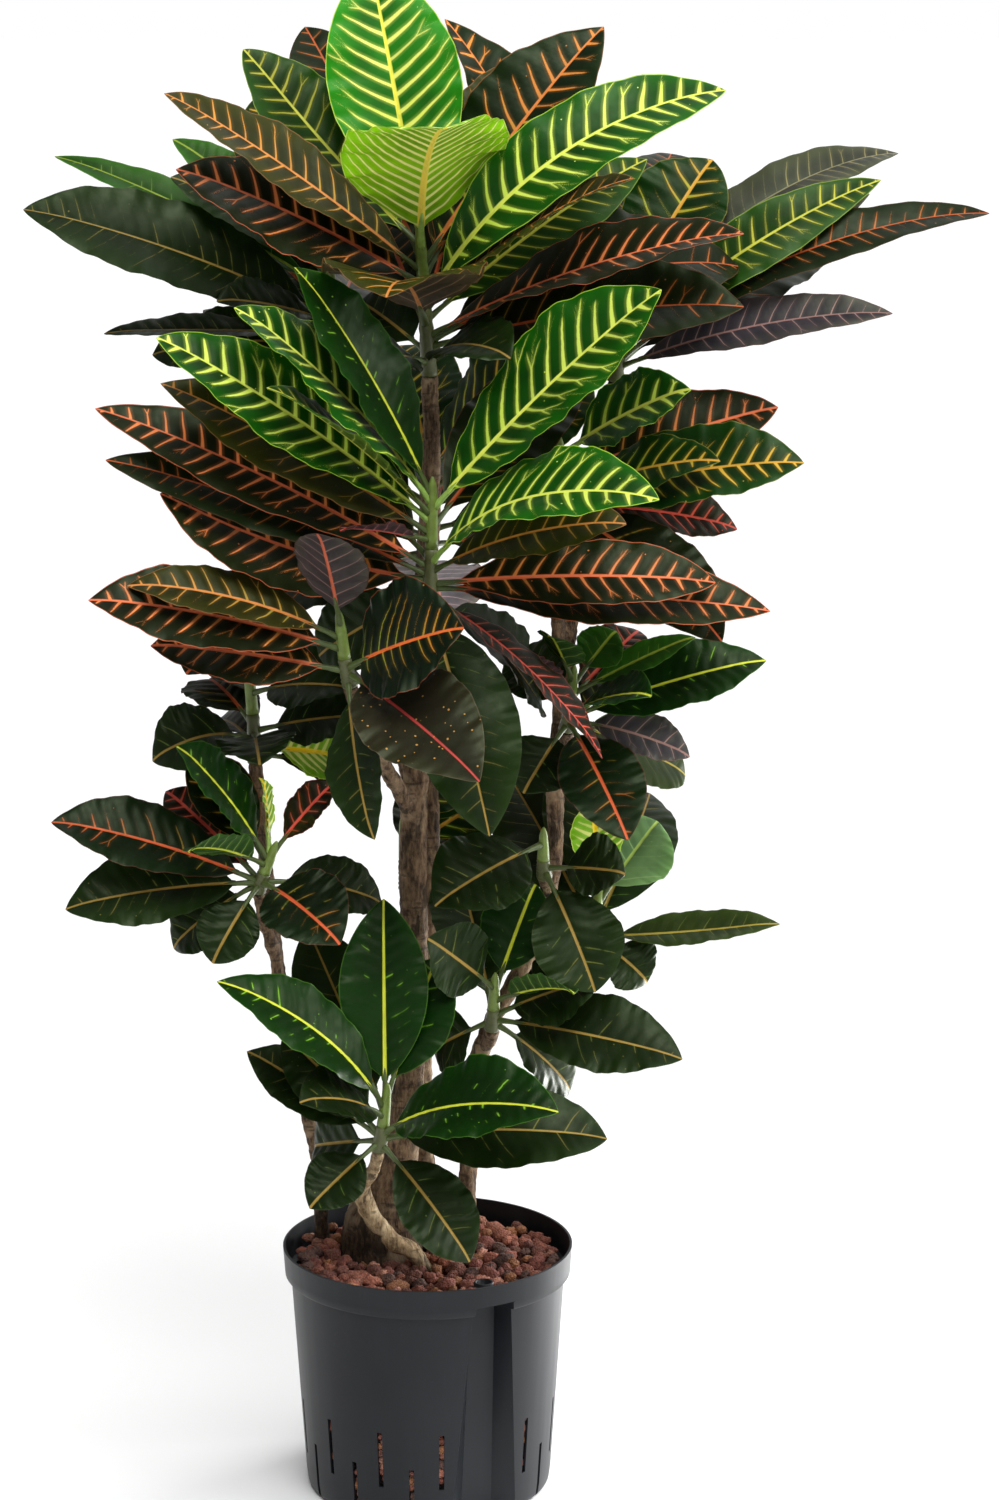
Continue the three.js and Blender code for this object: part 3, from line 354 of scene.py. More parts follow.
# A leaf's colouring, in 0-255 display values: ground, side veins near the base and towards the tip, midrib,
# margin, underside and its veins. Then, for the side veins: their spacing in mm, the share of them that
# shows, how far they reach to the margin, their half width in mm, how broken, how often forked and how much
# they glow into the ground. Last, how much of the blade is flecked.
COLOURING = {
    "crown": [
        (30, 112, 16), (220, 238, 84), (240, 244, 120), (244, 236, 84), (196, 224, 86), (96, 150, 60),
        (190, 210, 110), 12.5, 1.0, 0.85, 1.15, 0.0, 0.3, 0.22, 0.35,
    ],
    "bright": [
        (18, 74, 9), (206, 238, 78), (228, 246, 104), (230, 240, 100), (176, 214, 66), (82, 124, 34),
        (184, 212, 82), 15, 1.0, 0.86, 1.25, 0.0, 0.3, 0.2, 0.45,
    ],
    # The lime colouring's underside and its veins are the leaf's own pale lime, brightened with a painted
    # glow of light shining through the leaf.
    "lime": [
        (112, 168, 12), (230, 240, 128), (234, 240, 130), (252, 214, 24), (216, 234, 112), (138, 198, 8),
        (250, 250, 150), 7.4, 1.0, 0.96, 1.6, 0.0, 0.0, 0.1, 0.1,
    ],
    "fresh": [
        (42, 88, 20), (80, 124, 38), (98, 134, 46), (156, 178, 62), (96, 130, 60), (84, 124, 60),
        (150, 176, 96), 10, 0.5, 0.5, 0.4, 0.4, 0.0, 0.1, 0.1,
    ],
    "backlit": [
        (132, 172, 110), (158, 194, 128), (164, 200, 134), (196, 226, 112), (150, 188, 124),
        (104, 150, 84), (156, 190, 122), 11, 0.7, 0.85, 0.45, 0.1, 0.0, 0.12, 0.2,
    ],
    "moss": [
        (45, 57, 23), (88, 98, 44), (94, 102, 48), (178, 158, 70), (74, 84, 42), (76, 84, 44),
        (140, 138, 80), 12, 0.6, 0.7, 0.36, 0.6, 0.0, 0.06, 0.3,
    ],
    "olive": [
        (28, 62, 10), (148, 182, 58), (188, 184, 66), (206, 206, 78), (128, 150, 58), (72, 96, 28),
        (150, 164, 72), 13, 0.95, 0.78, 0.75, 0.1, 0.15, 0.14, 0.3,
    ],
    "mid": [
        (13, 44, 8), (156, 192, 54), (216, 172, 62), (224, 168, 64), (122, 118, 48), (84, 84, 62),
        (150, 140, 104), 14, 0.95, 0.74, 0.85, 0.05, 0.2, 0.14, 0.4,
    ],
    "green": [
        (11, 44, 5), (84, 138, 34), (128, 182, 54), (218, 224, 66), (66, 106, 30), (40, 72, 24),
        (120, 148, 68), 11, 0.7, 0.68, 0.55, 0.95, 0.0, 0.08, 0.5,
    ],
    "orange": [
        (13, 26, 7), (158, 176, 60), (230, 142, 62), (240, 140, 70), (136, 88, 52), (70, 58, 50),
        (146, 114, 92), 15, 0.95, 0.72, 0.95, 0.05, 0.2, 0.12, 0.4,
    ],
    "amber": [
        (44, 42, 12), (150, 142, 60), (204, 138, 62), (222, 140, 72), (136, 92, 54), (70, 58, 44),
        (146, 114, 84), 14, 0.9, 0.8, 0.68, 0.1, 0.1, 0.1, 0.3,
    ],
    "fire": [
        (20, 24, 7), (206, 138, 62), (238, 136, 78), (240, 122, 80), (196, 100, 66), (78, 64, 66),
        (150, 108, 102), 15, 0.9, 0.74, 0.98, 0.15, 0.3, 0.14, 0.4,
    ],
    "ember": [
        (10, 25, 7), (104, 116, 42), (178, 90, 46), (212, 94, 54), (74, 44, 34), (66, 56, 58),
        (130, 100, 94), 12, 0.6, 0.55, 0.58, 0.6, 0.1, 0.08, 0.3,
    ],
    "striped": [
        (9, 22, 11), (130, 148, 50), (212, 128, 46), (232, 112, 54), (120, 60, 42), (46, 42, 40),
        (110, 90, 76), 8.5, 0.85, 0.6, 0.5, 0.3, 0.0, 0.08, 0.3,
    ],
    "dark": [
        (13, 21, 4), (102, 114, 38), (174, 98, 44), (200, 94, 52), (80, 52, 36), (84, 72, 78),
        (150, 122, 124), 13, 0.6, 0.66, 0.6, 0.45, 0.1, 0.1, 0.35,
    ],
    "red": [
        (21, 16, 10), (160, 78, 50), (214, 86, 68), (220, 86, 72), (130, 54, 48), (70, 50, 54),
        (150, 94, 92), 11, 0.85, 0.78, 0.66, 0.1, 0.15, 0.12, 0.4,
    ],
    "speckled": [
        (42, 38, 26), (196, 150, 78), (206, 150, 80), (200, 70, 66), (76, 66, 52), (52, 44, 42),
        (108, 86, 80), 14, 0.1, 0.4, 0.35, 0.8, 0.0, 0.03, 2.4,
    ],
    # mauve and sage: the greyish tones of leaf undersides, lightened with painted sheen of light reflected
    # off them
    "mauve": [
        (60, 54, 60), (150, 126, 120), (170, 136, 128), (156, 118, 112), (96, 66, 66), (110, 100, 108),
        (160, 140, 140), 13, 0.9, 0.9, 0.36, 0.1, 0.1, 0.1, 0.1,
    ],
    "sage": [
        (60, 60, 50), (146, 146, 92), (156, 146, 98), (140, 136, 102), (80, 80, 66), (90, 92, 84),
        (140, 140, 120), 11, 0.8, 0.86, 0.36, 0.2, 0.1, 0.12, 0.2,
    ],
    "plain": [
        (19, 34, 7), (76, 104, 42), (112, 104, 50), (160, 130, 62), (40, 50, 26), (58, 56, 46),
        (116, 108, 82), 12, 0.5, 0.72, 0.36, 0.7, 0.0, 0.06, 0.4,
    ],
}


# ---- Curves and the rule that places the leaves ---------------------------------------------------------
def vec(point):
    return np.array(point[:3], float)


def unit(v):
    return v / np.linalg.norm(v)


class Curve:
    """A centripetal Catmull-Rom curve through points, from 0 to 1."""

    def __init__(self, points):
        self.points = [vec(p) for p in points]

    def at(self, share):
        points, last = self.points, len(self.points) - 1
        place = last * share
        i = min(int(place), last - 1)
        weight = place - i
        p1, p2 = points[i], points[i + 1]
        p0 = points[i - 1] if i > 0 else 2 * p1 - p2
        p3 = points[i + 2] if i + 2 <= last else 2 * p2 - p1
        d0, d1, d2 = (np.sqrt(np.linalg.norm(b - a)) for a, b in ((p0, p1), (p1, p2), (p2, p3)))
        t1 = ((p1 - p0) / d0 - (p2 - p0) / (d0 + d1) + (p2 - p1) / d1) * d1
        t2 = ((p2 - p1) / d1 - (p3 - p1) / (d1 + d2) + (p3 - p2) / d2) * d1
        c2, c3 = -3 * p1 + 3 * p2 - 2 * t1 - t2, 2 * p1 - 2 * p2 + t1 + t2
        return p1 + t1 * weight + c2 * weight**2 + c3 * weight**3

    def heading(self, share, step=0.0001):
        return unit(self.at(min(share + step, 1)) - self.at(max(share - step, 0)))

    def length(self, pieces=200):
        points = [self.at(i / pieces) for i in range(pieces + 1)]
        return sum(np.linalg.norm(b - a) for a, b in zip(points, points[1:]))


class Draws:
    """The frame's own row of seeded draws."""

    def __init__(self, seed=2024):
        self.seed = seed

    def __call__(self, low, high):
        self.seed = self.seed * 16807 % 2147483647
        return low + (high - low) * self.seed / 2147483647


draw = Draws()


def whorl_rows(path, whorl):
    """Leaves in a spiral round a stem that the photo doesn't show."""
    rows = []
    for k in range(whorl["count"]):
        spread = (whorl["to"] - whorl["from"]) * ((k * GOLDEN) % 1)
        angle = math.radians(whorl["from"] + spread + draw(-WHORL_SWAY, WHORL_SWAY))
        high, low = whorl["rise"]
        lift = math.radians(high + (low - high) * k / (whorl["count"] - 1))
        reach = whorl["length"] * draw(*WHORL_REACH)
        away = (math.cos(lift) * math.cos(angle), math.cos(lift) * math.sin(angle), math.sin(lift))
        tip = [middle + reach * part for middle, part in zip(path[1], away)]
        rows.append([*tip, whorl["width"], WHORL_ARCH, "mid" if k < whorl["young"] else "dark"])
    return rows


def places_on(rows, curve):
    """Where each leaf springs from its stem, by how steeply it stands."""
    axis, middle, length = curve.heading(1), curve.at(0.5), curve.length()
    steepness = [float(unit(vec(row) - middle) @ axis) for row in rows]
    order = sorted(range(len(rows)), key=lambda i: -steepness[i])
    above = math.floor(len(rows) * (1 - STEM["split"]) + 0.5)

    def spread(low, high, count, k):
        return high + (low - high) * (k / (count - 1) if count > 1 else 0)

    places = []
    for k in map(order.index, range(len(rows))):
        if k < above:
            low = STEM["split"] + STEM["over_joint"] / length
            places.append(spread(low, STEM["highest"], above, k))
        else:
            high = STEM["split"] - STEM["under_joint"] / length
            places.append(spread(STEM["lowest"] / length, high, len(rows) - above, k - above))
    return places


def either_way(*steps):
    return [0] + [s for step in steps for s in (step, -step)]


def effort(shift):
    x, y, z, turn = map(abs, shift)
    return x + y / 4 + z + turn / 3


# The shifts of a tip in x, y and z, and turns of a face, by which the frame frees a leaf from others.
MOST_EFFORT = 50
STEPS = [either_way(10, 22), either_way(12, 25, 40, 60, 85), either_way(8, 16, 26, 38), either_way(15)]
SHIFTS = sorted((shift for shift in itertools.product(*STEPS) if effort(shift) < MOST_EFFORT), key=effort)


NEARLY_UPRIGHT = 0.05


def leaf_axes(chord, turn):
    """The way a leaf's face looks and the way across it, for its chord and the turn of its face."""
    c = unit(chord)
    face = np.array([0, 0, 1.0]) - c * c[2]
    if np.linalg.norm(face) < NEARLY_UPRIGHT:
        face = np.array([0, -1.0, 0]) + c * c[1]
    face = unit(face)
    side = np.cross(c, face)
    angle = math.radians(turn + LEAF["lean"] * abs(side[1])) * (-1 if side[1] > 0 else 1)
    turned = face * math.cos(angle) + side * math.sin(angle)
    return turned, np.cross(c, turned)


def stations(leaf, share):
    """Middle points, ways across and normals of a leaf at shares of its length from the stem."""
    chord = leaf["tip"] - leaf["base"]
    length = np.linalg.norm(chord)
    face, side = leaf_axes(chord, leaf["turn"])
    t = np.asarray(share, float)[:, None]
    bow = 4 * leaf["arch"] * length
    middle = leaf["base"] + chord * t + face * bow * t * (1 - t)
    heading = chord + face * bow * (1 - 2 * t)
    heading /= np.linalg.norm(heading, axis=1)[:, None]
    twist = np.radians(leaf["twist"]) * (t - LEAF["petiole"] / length)
    across = side * np.cos(twist) + np.cross(side, heading) * np.sin(twist)
    return middle, across, np.cross(across, heading)


TIP_MATCH = 0.04  # how near a corner of the frame's leaf has to be


def stands_there(leaf, tree):
    """Whether the frame's leaf has its tip where this one would."""
    middle, _, normal = stations(leaf, [1.0])
    half = LEAF["mid_thick"] / 2 * normal[0]
    return all(tree.find(Vector((middle[0] + side * half) * MM))[2] < TIP_MATCH * MM for side in (1, -1))


def all_leaves():
    """Every leaf as the frame has it: its node, base, tip, turn, fold, twist, waves and colouring."""
    trees = {}
    for name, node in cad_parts.items():
        tree = trees[name] = kdtree.KDTree(len(node.data.vertices))
        for i, v in enumerate(node.data.vertices):
            tree.insert(v.co, i)
        tree.balance()
    listed = []
    for name, path in STEMS.items():
        rows = LEAVES.get(name) or whorl_rows(path, WHORLS[name])
        curve = Curve(path)
        for row, at in zip(rows, places_on(rows, curve)):
            part = "upper" if at > STEM["split"] else "lower"
            listed.append({"node": f"{name}_{part}", "row": row, "base": curve.at(at)})
    listed.sort(key=lambda leaf: leaf["row"][1])
    for number, leaf in enumerate(listed):
        *spot, leaf["width"], leaf["arch"], leaf["kind"] = leaf["row"][:6]
        turn = sum(leaf["row"][6:])
        leaf["fold"] = LEAF["fold"] + draw(-LEAF["fold_spread"], LEAF["fold_spread"])
        leaf["twist"] = draw(-LEAF["twist"], LEAF["twist"])
        leaf["waves"], leaf["phase"] = draw(*LEAF["waves"]), draw(0, 2 * math.pi)
        leaf["number"] = number
        for *shift, more in SHIFTS:
            leaf["tip"], leaf["turn"] = np.add(spot, shift).astype(float), turn + more
            if stands_there(leaf, trees[leaf["node"]]):
                break
        else:
            leaf["tip"], leaf["turn"] = vec(spot), turn
            print("the frame doesn't have this leaf:", leaf["node"], leaf["row"])
    return listed


# ---- Meshes -------------------------------------------------------------------------------------------
def linear(colour):
    return [((c / 255 + 0.055) / 1.055) ** 2.4 if c > 10 else c / 255 / 12.92 for c in colour]


def add_object(name, data):
    made = bpy.data.objects.new(name, data)
    bpy.context.scene.collection.objects.link(made)
    return made


def add_piece(name, points, faces, *materials):
    """A new object with a mesh of its own, from points in mm."""
    me = bpy.data.meshes.new(name)
    me.from_pydata((np.asarray(points) * MM).tolist(), [], faces)
    for material in materials:
        me.materials.append(material)
    return add_object(name, me)


def put_attribute(me, name, kind, values):
    """kind is FLOAT_COLOR or FLOAT_VECTOR; values has a row for each point."""
    field = kind.split("_")[1].lower()
    made = me.attributes.new(name, kind, "POINT")
    made.data.foreach_set(field, np.asarray(values, np.float32).ravel())


def round_angles(sides):
    return 2 * np.pi * np.arange(sides) / sides


def hoops(rows, sides, start=0, lids=(0, -1), skip=lambda row, k: False):
    """Faces round rows of points, but for skipped ones, and the lids. start is the first point's number."""
    index = (start + np.arange(rows * sides).reshape(rows, sides)).tolist()
    faces = []
    for row, (low, high) in enumerate(zip(index, index[1:])):
        for k in range(sides):
            after = (k + 1) % sides
            if not skip(row, k):
                faces.append([low[k], low[after], high[after], high[k]])
    return faces + [index[lid][:: 1 if lid else -1] for lid in lids]


class Patches:
    """A mesh of grids of points, each grid with its colours, traits and own place in the bake's map."""

    COLOURS = ["ground", "vein", "far_vein", "rib", "rim"]
    TRAITS = ["place", "habit", "habit_more", "habit_last"]

    def __init__(self):
        self.points, self.faces, self.materials, self.corners, self.margins = [], [], [], [], []
        self.cells, self.values = [], {name: [] for name in self.COLOURS + self.TRAITS}
        self.count = 0

    def add(self, grid, material, size, values, wrap=False, joined=None, flip=False):
        """grid is (rows, columns, 3). joined maps a place in the grid to a point that is already there."""
        rows, columns = grid.shape[:2]
        index = np.full((rows, columns), -1) if joined is None else joined.copy()
        fresh = index < 0
        index[fresh] = self.count + np.arange(fresh.sum())
        self.points.append(grid[fresh])
        for name, value in values.items():
            self.values[name].append(np.broadcast_to(np.asarray(value, float), grid.shape)[fresh])
        self.count += int(fresh.sum())
        spans = (rows - 1, columns if wrap else columns - 1)
        i, j = (v.ravel() for v in np.meshgrid(np.arange(spans[0]), np.arange(spans[1]), indexing="ij"))
        ring = [(i, j), (i + 1, j), (i + 1, j + 1), (i, j + 1)][:: -1 if flip else 1]
        quads = np.stack([index[a, b % columns] for a, b in ring], 1)
        uv = np.stack([np.stack([a / spans[0], b / spans[1]], 1) for a, b in ring], 1)
        self.faces.append(quads)
        self.materials.append(np.full(len(quads), material))
        self.corners.append((len(self.cells), uv))
        self.cells.append(size)
        return index

    def shelves(self, gap=3.0):
        """Where each patch lies in the bake's square: rows of patches, the tallest first."""
        side = 1.08 * math.sqrt(sum((w + gap) * (h + gap) for w, h in self.cells))
        while True:
            spots, x, y, tall, fits = {}, gap, gap, 0, True
            for cell in sorted(range(len(self.cells)), key=lambda c: -self.cells[c][1]):
                w, h = self.cells[cell]
                if x + w + gap > side:
                    x, y, tall = gap, y + tall + gap, 0
                spots[cell] = (x, y, w, h)
                x, tall = x + w + gap, max(tall, h)
                fits = fits and y + h + gap <= side and w + 2 * gap <= side
            if fits:
                return {c: np.array(s) / side for c, s in spots.items()}
            side *= 1.04

    def build(self, name, materials):
        quads = np.concatenate(self.faces)
        piece = add_piece(name, np.concatenate(self.points), quads.tolist(), *materials)
        me = piece.data
        me.polygons.foreach_set("material_index", np.concatenate(self.materials).astype(np.int32))
        me.polygons.foreach_set("use_smooth", np.ones(len(quads), bool))
        for key, values in self.values.items():
            values = np.concatenate(values)
            if key in self.COLOURS:
                put_attribute(me, key, "FLOAT_COLOR", np.pad(values, ((0, 0), (0, 1)), constant_values=1))
            else:
                put_attribute(me, key, "FLOAT_VECTOR", values)
        spots = self.shelves()
        uv = np.concatenate([spots[c][:2] + places * spots[c][2:] for c, places in self.corners])
        me.uv_layers.new(name="OFBake").uv.foreach_set("vector", uv.astype(np.float32).ravel())
        ends = np.empty(len(me.edges) * 2, np.int32)
        me.edges.foreach_get("vertices", ends)
        on_margin = np.isin(ends, np.concatenate(self.margins)).reshape(-1, 2).all(1)
        me.attributes.new("sharp_edge", "BOOLEAN", "EDGE").data.foreach_set("value", on_margin)
        me.validate()
        return piece


TOP, UNDERSIDE, STALK = range(3)  # the places of a shoot's materials


def tube(patches, middles, across, normals, radii, colour, sides=10):
    """A round green stalk along points, closed at both ends by shrinking to a point."""
    ends = [0, *range(len(middles)), len(middles) - 1]
    radii = np.array([0.02, *radii, 0.02])
    turn = round_angles(sides)[None, :, None]
    ring = across[ends][:, None] * np.cos(turn) + normals[ends][:, None] * np.sin(turn)
    grid = middles[ends][:, None] + ring * radii[:, None, None]
    length = float(np.linalg.norm(np.diff(middles, axis=0), axis=1).sum())
    values = dict.fromkeys(Patches.COLOURS, linear(colour)) | dict.fromkeys(Patches.TRAITS, [0, 0, 0])
    values["place"] = np.linspace(0, length, len(ends))[:, None, None] * [1, 0, 0]
    patches.add(grid, STALK, (length + 1, 2 * np.pi * float(radii.max())), values, wrap=True)


def half_width(along, width, base_shape, tip_shape):
    total = base_shape + tip_shape
    peak = (base_shape / total) ** base_shape * (tip_shape / total) ** tip_shape
    return width / 2 * along**base_shape * (1 - along) ** tip_shape / peak


def blade(patches, leaf):
    """The two faces of a leaf's blade, joined along the margin, with its midrib and side veins in relief."""
    rng = random.Random(leaf["number"] + 7)
    length = float(np.linalg.norm(leaf["tip"] - leaf["base"]))
    stalk = LEAF["petiole"] / length
    even = np.linspace(0, 1, BLADE["along"])
    along = BLADE["uneven"] * np.sin(even * np.pi / 2) ** 0.9 + (1 - BLADE["uneven"]) * even
    middle, across, normal = stations(leaf, stalk + (1 - stalk) * along)
    base_shape = LEAF["base_shape"] + rng.uniform(*BLADE["base_more"])
    tip_shape = LEAF["tip_shape"] + rng.uniform(*BLADE["tip_more"])
    half = half_width(along, leaf["width"], base_shape, tip_shape)
    half = np.maximum(half * np.minimum(1, 0.55 + along * 7), BLADE["foot_half"] * (1 - along) ** 3)
    half[-1] = BLADE["tip_half"]

    # Shares out from the midrib, and how high the folded, waved and ruffled blade lies there.
    w = np.array([-v for v in BLADE["across"][:0:-1]] + BLADE["across"])
    out, right = np.abs(w)[None, :], w > 0
    along, half = along[:, None], half[:, None]
    fold = math.radians(leaf["fold"])
    reach = half * math.cos(fold)
    lift = half * math.sin(fold) * (1.35 * out - 0.35 * out**2)
    fullness = np.minimum(1, 2 * half / leaf["width"])
    height = LEAF["wave"] * leaf["width"] * fullness
    rolling = 2 * np.pi * leaf["waves"] * along + leaf["phase"]
    lift = lift + height * np.sin(rolling + np.where(right, 0.7 * np.pi, 0)) * out**1.6
    ruffle = 2 * np.pi * (4.3 + 0.8 * leaf["waves"]) * along + 3 * leaf["phase"]
    ripple = np.sin(ruffle + 2.1 * right) + 0.5 * np.sin(2.3 * ruffle - 1.3 * right)
    lift = lift + BLADE["ruffle"] * leaf["width"] * ripple * out**2.5 * fullness
    last_part = np.clip((along - BLADE["drop_from"]) / (1 - BLADE["drop_from"]), 0, 1)
    lift = lift - BLADE["tip_drop"] * last_part**2

    # The pleats between side veins follow the same phase as the veins in leaf_material.
    x, y = along * (length - LEAF["petiole"]) + 0 * out, half * w
    spacing, shown, reach_share, vein_width, breaks, forks, glow, flecks = COLOURING[leaf["kind"]][7:]
    spacing *= 0.75 + leaf["width"] / 360
    shift = rng.random()
    phase = (x - VEIN_SLANT * abs(y) - VEIN_BEND * y**2) / spacing + np.where(right, 0.5, 0) + shift
    swell = 0.5 - 0.5 * np.cos(2 * np.pi * phase)
    room = np.clip((half - 4) / 14, 0, 1) * np.clip(8 * out, 0, 1) * np.clip(4 * (1 - out), 0, 1)
    puckers = rng.uniform(*BLADE["puckers"]) * (swell - 0.5) * room
    (groove, groove_half), (ridge, ridge_half) = BLADE["groove"], BLADE["ridge"]
    groove = groove * np.exp(-((y / groove_half) ** 2)) * (1 - along)
    ridge = ridge * np.exp(-((y / ridge_half) ** 2)) * (1 - 0.75 * along)
    thick = BLADE["half_thick"] * np.clip(6 * (1 - out), 0, 1)

    ground_shade, vein_shade = rng.uniform(*BLADE["ground_shade"]), rng.uniform(*BLADE["vein_shade"])
    ground, vein, far_vein, rib, rim, back, back_vein = (
        np.array(linear(c)) for c in COLOURING[leaf["kind"]][:7]
    )
    traits = {
        "place": np.stack([x, y, np.broadcast_to(w, x.shape)], 2),
        "habit": [spacing, shown, reach_share],
        "habit_more": [vein_width * (0.7 + leaf["width"] / 280), shift, flecks],
        "habit_last": [breaks, forks, glow],
    }

    def face(material, raised, colours, **how):
        grid = middle[:, None] + across[:, None] * (reach * w)[..., None]
        grid = grid + normal[:, None] * raised[..., None]
        values = dict(zip(Patches.COLOURS, colours), **traits)
        return patches.add(grid, material, (length - LEAF["petiole"], leaf["width"]), values, **how)

    colours = [ground * ground_shade, vein * vein_shade, far_vein * vein_shade, rib, rim]
    top = face(TOP, lift + puckers + groove + thick, colours)
    joined = np.full(top.shape, -1)
    for margin in (np.s_[:, 0], np.s_[:, -1], np.s_[0], np.s_[-1]):
        joined[margin] = top[margin]
    colours = [back, back_vein, back_vein, 0.7 * rib + 0.3 * back_vein, back]
    face(UNDERSIDE, lift + 0.8 * puckers - thick - ridge, colours, joined=joined, flip=True)
    patches.margins.append(np.unique(joined[joined >= 0]))


def petiole(patches, leaf):
    """The leaf's stalk, thickest where it leaves the stem, running out under the blade."""
    length = float(np.linalg.norm(leaf["tip"] - leaf["base"]))
    share = np.linspace(*PETIOLE["span"], len(PETIOLE["radii"])) * LEAF["petiole"] / length
    middle, across, normal = stations(leaf, share)
    radii = (0.75 + leaf["width"] / 260) * np.array(PETIOLE["radii"])
    colour = PETIOLE_COLOURS.get(leaf["kind"], PETIOLE_COLOURS["other"])
    tube(patches, middle - normal * np.array(PETIOLE["drop"])[:, None], across, normal, radii, colour)


def shoot_stem(patches, path, part):
    """The green stem of one node of a shoot; the upper one ends in a bud."""
    curve = Curve(path)
    whole = Curve([*path, curve.at(1) + curve.heading(1) * STEM["bud"]])
    last = len(path)
    joint = STEM["split"] * (1 - 1 / last)
    share = np.linspace(*((0, joint) if part == "lower" else (joint, 1)), STEM["stations"])
    radii_at = [*np.linspace(STEM["foot"], STEM["tip"], last), STEM["end"]]
    radii = np.interp(share * last, range(last + 1), radii_at)
    if part == "lower":
        height, close = STEM["scars"]
        radii = radii + height * np.sin(share * close)
    else:
        more, begin = STEM["bud_swell"]
        radii = radii + more * np.sin(np.clip((share - begin) / (1 - begin), 0, 1) * np.pi)
    middle = np.array([whole.at(s) for s in share])
    heading = np.array([whole.heading(s) for s in share])
    across = np.cross([0, 1.0, 0], heading)
    across /= np.linalg.norm(across, axis=1)[:, None]
    tube(patches, middle, across, np.cross(heading, across), radii, STEM_COLOURS[part], sides=14)


# ---- Materials ------------------------------------------------------------------------------------------
def sums(operation):
    """A sum or comparison of two values, as a method of Value."""
    return lambda a, b: a.nodes.math(operation, a, b)


class Value:
    """What a node gives, with sums and comparisons that make nodes of their own."""

    def __init__(self, nodes, socket):
        self.nodes, self.socket = nodes, socket

    __add__, __sub__, __mul__, __truediv__ = map(sums, ("ADD", "SUBTRACT", "MULTIPLY", "DIVIDE"))
    __gt__, __lt__ = map(sums, ("GREATER_THAN", "LESS_THAN"))

    def __rsub__(self, other):
        return self.nodes.math("SUBTRACT", other, self)

    def __abs__(self):
        return self.nodes.math("ABSOLUTE", self)


class Nodes:
    """A material's node tree, with short names for what is used most."""

    def __init__(self, name):
        self.material = bpy.data.materials.new(name)
        self.material.use_nodes = True
        self.tree = self.material.node_tree

    def node(self, kind, inputs, **settings):
        """The outputs of a new node, by their names and numbers."""
        made = self.tree.nodes.new("ShaderNode" + kind)
        for key, value in settings.items():
            setattr(made, key, value)
        for key, value in inputs.items():
            self.put(made.inputs[key], value)
        values = [Value(self, socket) for socket in made.outputs]
        return dict(enumerate(values)) | dict(zip(made.outputs.keys(), values))

    def put(self, socket, value):
        if isinstance(value, Value):
            self.tree.links.new(value.socket, socket)
        elif isinstance(value, (tuple, list)) and len(value) == 3 and socket.type == "RGBA":
            socket.default_value = (*value, 1)
        else:
            socket.default_value = value

    def attribute(self, name, output="Color"):
        return self.node("Attribute", {}, attribute_name=name)[output]

    def traits(self, name):
        return self.parts(self.attribute(name, "Vector"))

    def place(self):
        return self.node("TexCoord", {})["Object"]

    def parts(self, vector):
        made = self.node("SeparateXYZ", {0: vector})
        return made[0], made[1], made[2]

    def point(self, x, y, z=0.0):
        return self.node("CombineXYZ", {0: x, 1: y, 2: z})[0]

    def math(self, operation, a, b=0.0):
        return self.node("Math", {0: a, 1: b}, operation=operation)[0]

    def ramp(self, value, low, high, start=0.0, end=1.0):
        """value from low to high, as start to end, held beyond."""
        inputs = {"Value": value, "From Min": low, "From Max": high, "To Min": start, "To Max": end}
        return self.node("MapRange", inputs)[0]

    def mix(self, share, a, b, blend="MIX"):
        return self.node("Mix", {0: share, 6: a, 7: b}, data_type="RGBA", blend_type=blend)[2]

    def tint(self, colour, by):
        return self.mix(1.0, colour, by, "MULTIPLY")

    def noise(self, vector, scale, detail=2.0, roughness=0.5):
        inputs = {"Vector": vector, "Scale": scale, "Detail": detail, "Roughness": roughness}
        return self.node("TexNoise", inputs)[0]

    def cells(self, vector, scale):
        return self.node("TexVoronoi", {"Vector": vector, "Scale": scale})

    def bump(self, height, strength, distance):
        return self.node("Bump", {"Height": height, "Strength": strength, "Distance": distance})[0]

    def finish(self, **inputs):
        shader = self.tree.nodes["Principled BSDF"]
        for key, value in inputs.items():
            self.put(shader.inputs[key.replace("_", " ").title().replace("Ior", "IOR")], value)
        return self.material


